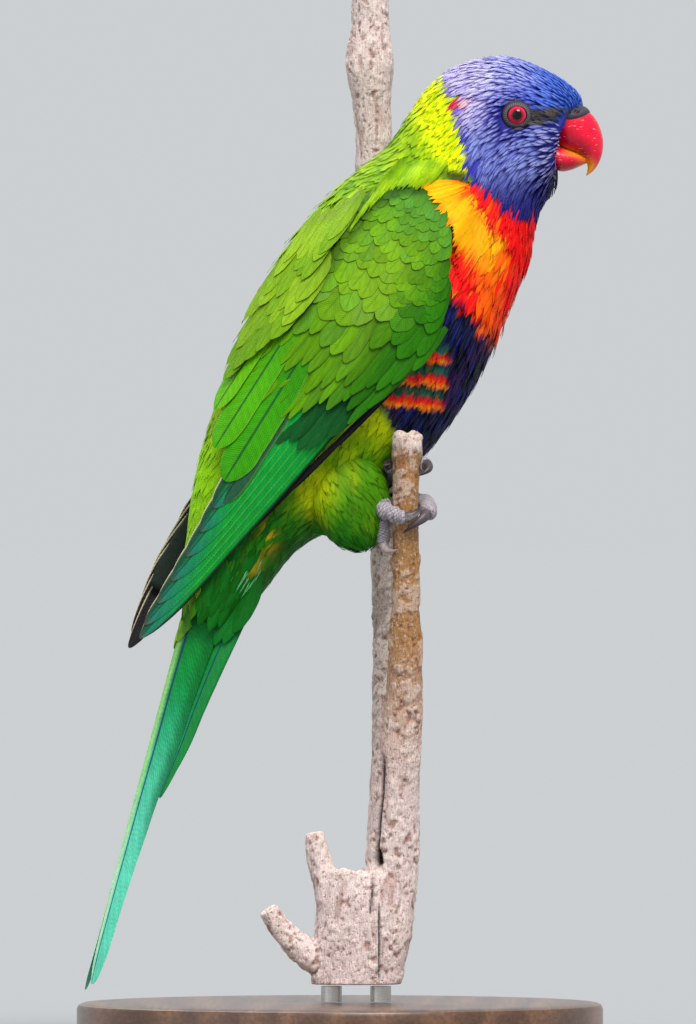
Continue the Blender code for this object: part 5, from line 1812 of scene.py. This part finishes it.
def build_claws(name, lines, nail):
    for label, (path, radius, claw) in zip(("inner", "outer", "hind"), lines):
        last = np.flatnonzero(claw == 0)[-1]
        path, share = path[last - 1:], claw[last - 1:]
        size = radius[last] / TOE_END
        thick = CLAW_RADIUS * min(size, 1.2) * (1 - 0.93 * share ** 1.15)
        fine, thick = resampled(path, thick, CLAW_ROWS)
        grid, turn = tube(fine, thick, 24, across=1.12)
        near, far = HIND_CLAW if label == "hind" else FRONT_CLAW
        colour = blend(near, far, np.linspace(0, 1, len(fine)))[:, None]
        # A painted highlight runs along one side of each claw.
        painted_highlight = 0.5 * ramp(np.cos(turn + 0.5), 0.75, 1)[None]
        colour = blend(colour + 0 * grid, paint(150, 140, 136), painted_highlight)
        flat = grid.reshape(-1, 3)
        make_piece(f"nail_{name}_{label}", flat, tube_faces(*grid.shape[:2], turned=True), nail,
                   (f"claw_{name}_{label}",), tint=colour.reshape(-1, 3), uv=foot_map(flat))


build_feet()

# %% [markdown]
# ## The branch
# A weathered fork with a broken stub in front and a longer stem behind. Its lengths are tubes
# with level rings, melted into one body by a voxel remesh, which rounds the forks as wood does.
# Then every point moves along its normal by the height of the bark: furrows along the grain,
# a raised crust, pits and cracks.

# %% Branch
STEM_PATH = np.array([
    [13.5, 4, 50.9, 6.2], [14, 6.8, 66, 5.9], [14.6, 12.6, 84, 5.6], [14.8, 21, 104, 5.3],
    [14.4, 30.5, 126, 5.2], [13.6, 37.4, 150, 5.1], [12.4, 39.6, 176, 5.2], [11.4, 39.6, 208, 5.3],
    [10.2, 39.4, 242, 5.4], [9.2, 39.2, 268, 5.6], [8.4, 39, 281, 7], [8.6, 39, 290, 5.5],
    [8.6, 39, 301.6, 5.2]])
FORK_PATH = np.array([
    # X, Y and Z of the middle line, half width and half depth
    [4.6, 0, 17.3, 12.8, 8.4], [5.4, 0, 26, 13.1, 9], [6.7, 0.4, 36, 13.7, 9.8],
    [7.4, 0.6, 44, 13.9, 10], [7.8, 0.6, 49.4, 13.2, 9]])
FINGERS = (np.array([[-2.6, -1, 42, 4.8], [-5.2, -1.4, 50, 3.4], [-6.6, -1.7, 56, 2.9],
                     [-7.3, -1.8, 60.4, 2.2]]),
           np.array([[-2.2, -0.4, 21.8, 4.4], [-9.6, -1.2, 26.4, 4.2], [-16.2, -2, 32.6, 3.2],
                     [-20.4, -2.8, 38.6, 2.5]]))


def level_tube(rows, count, ring):
    """Level rings up a path of X, Y, Z, half width and, if given, half depth."""
    lengths = lengths_along(rows[:, :3])
    fine = curve_through(lengths, rows, np.linspace(0, lengths[-1], count))
    turn = circle(ring)
    x = fine[:, 0:1] + np.cos(turn) * fine[:, 3:4]
    y = fine[:, 1:2] + np.sin(turn) * fine[:, -1:]
    return np.stack([x, y, np.broadcast_to(fine[:, 2:3], x.shape)], axis=-1)


# %% Melting shells together
def remeshed(name, shells, voxel):
    """Closed grids melted to one closed mesh. Returns its points in millimetres and its faces."""
    points, faces = joined_tubes(shells, [True] * len(shells))
    mesh = bpy.data.meshes.new(name)
    mesh.from_pydata((points * MM).tolist(), [], faces.tolist())
    rough = bpy.data.objects.new(name, mesh)
    bpy.context.scene.collection.objects.link(rough)
    melt = rough.modifiers.new("melt", "REMESH")
    melt.mode = "VOXEL"
    melt.voxel_size = voxel * MM
    done = rough.evaluated_get(bpy.context.evaluated_depsgraph_get()).to_mesh()
    points = np.empty(len(done.vertices) * 3, np.float32)
    done.vertices.foreach_get("co", points)
    corners = np.empty(len(done.loops), np.int32)
    done.loops.foreach_get("vertex_index", corners)
    bpy.data.objects.remove(rough)
    return points.reshape(-1, 3) / MM, corners.reshape(-1, 4)


def face_normals(points, faces):
    """A normal at every point: the sum of its faces' cross products of diagonals."""
    corner = points[faces]
    cross = np.cross(corner[:, 2] - corner[:, 0], corner[:, 3] - corner[:, 1])
    total = np.zeros_like(points)
    for n in range(4):
        np.add.at(total, faces[:, n], cross)
    return unit(total)


# %% Bark
CRACKS = (
    # low end, high end, X at the low end, X at the high end, half width
    (53, 84, 10.7, 12.4, 0.5), (36, 49, 8.7, 9.4, 0.35), (17, 41, 11.3, 11.3, 0.3))


def bark_height(points):
    """Furrows: noise squeezed across the grain; a crust where it is high; pits where a finer
    noise is low; and a hole in the fork's face with a crack above it and two below."""
    long = points * (1, 1, 0.25)
    grain = 0.6 * grit(long, 2.4, 1) + 0.4 * grit(long, 1.1, 2)
    lumps = grit(points * (1, 1, 0.6), 7, 3) + 0.5 * grit(points, 3, 4) - 0.75
    crust = ramp(0.6 * grit(points * (1, 1, 0.6), 5, 5) + 0.4 * grit(points, 1.6, 6), 0.5, 0.56)
    pits = ramp(0.35 * grit(points * (1, 1, 0.7), 2.6, 7) + 0.65 * grit(points, 1.1, 8), 0.66, 0.74)
    x, y, z = points.T
    sway = 0.7 * (grit(points * (0, 0, 1), 5, 9) - 0.5)
    crack = 0
    for low, high, low_x, high_x, wide in CRACKS:
        middle = low_x + (high_x - low_x) * (z - low) / (high - low) + sway
        crack = crack + np.exp(-((x - middle) / wide) ** 2) * ramp(z, low, low + 3) * ramp(high - z, 0, 4)
    crack = crack * (y < 2)
    hole = np.exp(-((x - 10.8) / 1) ** 2 - ((z - 53) / 1.7) ** 2) * (y < 0)
    height = 0.5 * (grain - 0.5) + 0.6 * lumps + 0.28 * crust - 0.4 * pits
    height = height - 0.9 * np.clip(crack, 0, 1) - 3 * hole
    dark = np.clip(crack + 2 * hole, 0, 1)
    brown = np.clip(0.9 * pits + 0.6 * ramp(0.42 - grain, 0, 0.16) * (1 - 0.7 * crust), 0, 1)
    return height - 0.15, dark, brown, crust


def bark_material():
    made, tree, shader = new_material("bark", Roughness=0.85, Specular_IOR_Level=0.25)
    place = tree.place()
    fibre = tree.noise(tree.stretched(place, (2400, 2400, 420)), 1, 6, 0.7)
    spots = tree.noise(place, 1100, 6, 0.72)
    fine = tree.grain(4200, 0.84, 1.14, roughness=0.6)["Shade"]
    shade = tree.math("MULTIPLY", tree.spread(fibre, 0.3, 0.7, 0.6, 1.3), fine)
    colour = tree.dimmed(tree.tint(), shade)
    colour = tree.mix(tree.spread(spots, 0.44, 0.36, 0, 0.55), colour, (0.86, 0.76, 0.73, 1))
    colour = tree.mix(tree.spread(spots, 0.56, 0.63, 0, 0.8), colour, (0.16, 0.05, 0.026, 1))
    tree.finish(shader, colour, tree.math("SUBTRACT", fibre, spots), 1, 0.0006)
    return made


# %% Colours of the bark
def bark_colour(points, dark, brown, crust, top):
    """Pale on the fork, tan up the stub, grey up the stem behind; lighter on the crust, the stub's
    broken end and the stem's cut top, brown in furrows, and near black in the cracks and the hole,
    a painted shade in their hollows."""
    behind = ramp(points[:, 1], 6, 16)
    upper = ramp(points[:, 2], 60, 120) * (1 - behind)
    colour = blend(paint(236, 214, 212), paint(176, 130, 84), upper)
    rear = blend(paint(184, 166, 160), paint(228, 206, 202), ramp(points[:, 2], 180, 260))
    colour = blend(colour, rear, behind)
    colour = blend(colour, paint(238, 220, 212), (0.6 - 0.25 * upper) * crust)
    colour = blend(colour, paint(142, 78, 54), brown * 0.7)
    # Painted shade: the cracks and the hole are near black.
    colour = blend(colour, paint(30, 16, 14), dark)
    ends = ramp(points[:, 2], 167, 171) * (1 - behind)
    colour = blend(colour, paint(232, 214, 206), 0.8 * ends * (1 - 0.6 * brown))
    return blend(colour, paint(204, 172, 134) * 0.8, ramp(points[:, 2], top - 0.4, top))


# %% Branch as one body
def build_branch():
    stub = level_tube(STUB_PATH, 60, 40)
    stub[-3:, :, 2] += 0.5 * ripple(stub[-1], 3, 12) * np.linspace(0.3, 1, 3)[:, None]
    lobes = [level_tube(STUB_LOBES + (shift, 0, 0, 0), 12, 24) for shift in (0, 4.2)]
    fork = level_tube(FORK_PATH, 40, 64)
    fork[-5:, :, 2] += 1.3 * ripple(fork[-1], 4, 7) * np.linspace(0.1, 1, 5)[:, None]
    shells = [stub, *lobes, level_tube(STEM_PATH, 90, 40), fork]
    for finger in FINGERS:
        lengths = lengths_along(finger[:, :3])
        fine = curve_through(lengths, finger, np.linspace(0, lengths[-1], 24))
        shells.append(tube(fine[:, :3], fine[:, 3], 24)[0])
    points, faces = remeshed("branch_rough", shells, 0.5)
    height, dark, brown, crust = bark_height(points)
    normals = face_normals(points, faces)
    low, high = points[:, 2].min() + 0.3, points[:, 2].max() - 0.3
    flat_end = ramp(points[:, 2], low, low + 2) * ramp(high - points[:, 2], 0, 2)
    points = points + normals * (height * flat_end)[:, None]
    colour = bark_colour(points, dark, brown, crust, high)
    uv = np.stack([np.arctan2(points[:, 1], points[:, 0] - 12) / 6.4 + 0.5, points[:, 2] / 320], axis=1)
    make_piece("branch", points, faces, bark_material(),
               ("perch_fork", "perch_stub", "perch_stem_low", "perch_stem_high"), tint=colour, uv=uv)


build_branch()

# %% [markdown]
# ## The stand
# A turned wooden base and two short steel rods carry the branch. The base is a profile turned
# round the upright axis, with a softened rim and one fine groove.

# %% Stand
BASE_PROFILE = np.array([
    # radius, height
    (0.5, 0), (73, 0), (74.2, 0.35), (75, 1.5), (75, 4.4), (74.6, 4.8), (74.6, 5.2), (75, 5.6),
    (75, 10.3), (74.5, 11.5), (73.3, 12), (60, 12), (30, 12), (0.5, 12)])
BASE_RING = 192


def build_stand():
    wood, tree, shader = new_material("walnut", Roughness=0.34, Coat_Weight=0.25, Coat_Roughness=0.2)
    place = tree.place()
    bend = tree.noise(tree.stretched(place, (14, 3, 14)), 1, 3)
    fibres = tree.noise(tree.stretched(place, (900, 22, 900)), 1, 5, 0.6)
    across = tree.add("ShaderNodeSeparateXYZ", {0: place}).outputs[0]
    rings = tree.math("SINE", tree.math("MULTIPLY_ADD", across, 420, tree.math("MULTIPLY", bend, 26)))
    grain = tree.math("MULTIPLY_ADD", rings, 0.13, fibres)
    shades = ((0, paint(48, 30, 22)), (1, paint(120, 84, 60)), (0.5, paint(84, 56, 40)))
    tree.finish(shader, tree.ramp(tree.spread(grain, 0.1, 0.9), shades), fibres, 0.15, 0.0002)
    turn = circle(BASE_RING)
    radius, z = BASE_PROFILE[:, 0:1], BASE_PROFILE[:, 1:2]
    points = np.stack([radius * np.cos(turn), radius * np.sin(turn), z + 0 * turn], axis=-1)
    flat = points.reshape(-1, 3)
    base = make_piece("base_wood", flat, tube_faces(len(BASE_PROFILE), BASE_RING, turned=True), wood,
                      ("stand_base",), uv=flat[:, :2] / 160 + 0.5)
    base.data.set_sharp_from_angle(angle=math.radians(40))
    steel, tree, shader = new_material("brushed_steel", Roughness=0.3, Metallic=1)
    lines = tree.noise(tree.stretched(tree.place(), (60, 60, 9000)), 1, 2)
    tree.finish(shader, tree.ramp(lines, ((0.3, (0.5, 0.49, 0.47)), (0.7, (0.68, 0.67, 0.65)))))
    tree.link(tree.spread(lines, 0.3, 0.7, 0.22, 0.42), shader.inputs["Roughness"])
    for node in ("stand_rod_a", "stand_rod_b"):
        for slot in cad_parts[node].material_slots:
            slot.material = steel


build_stand()
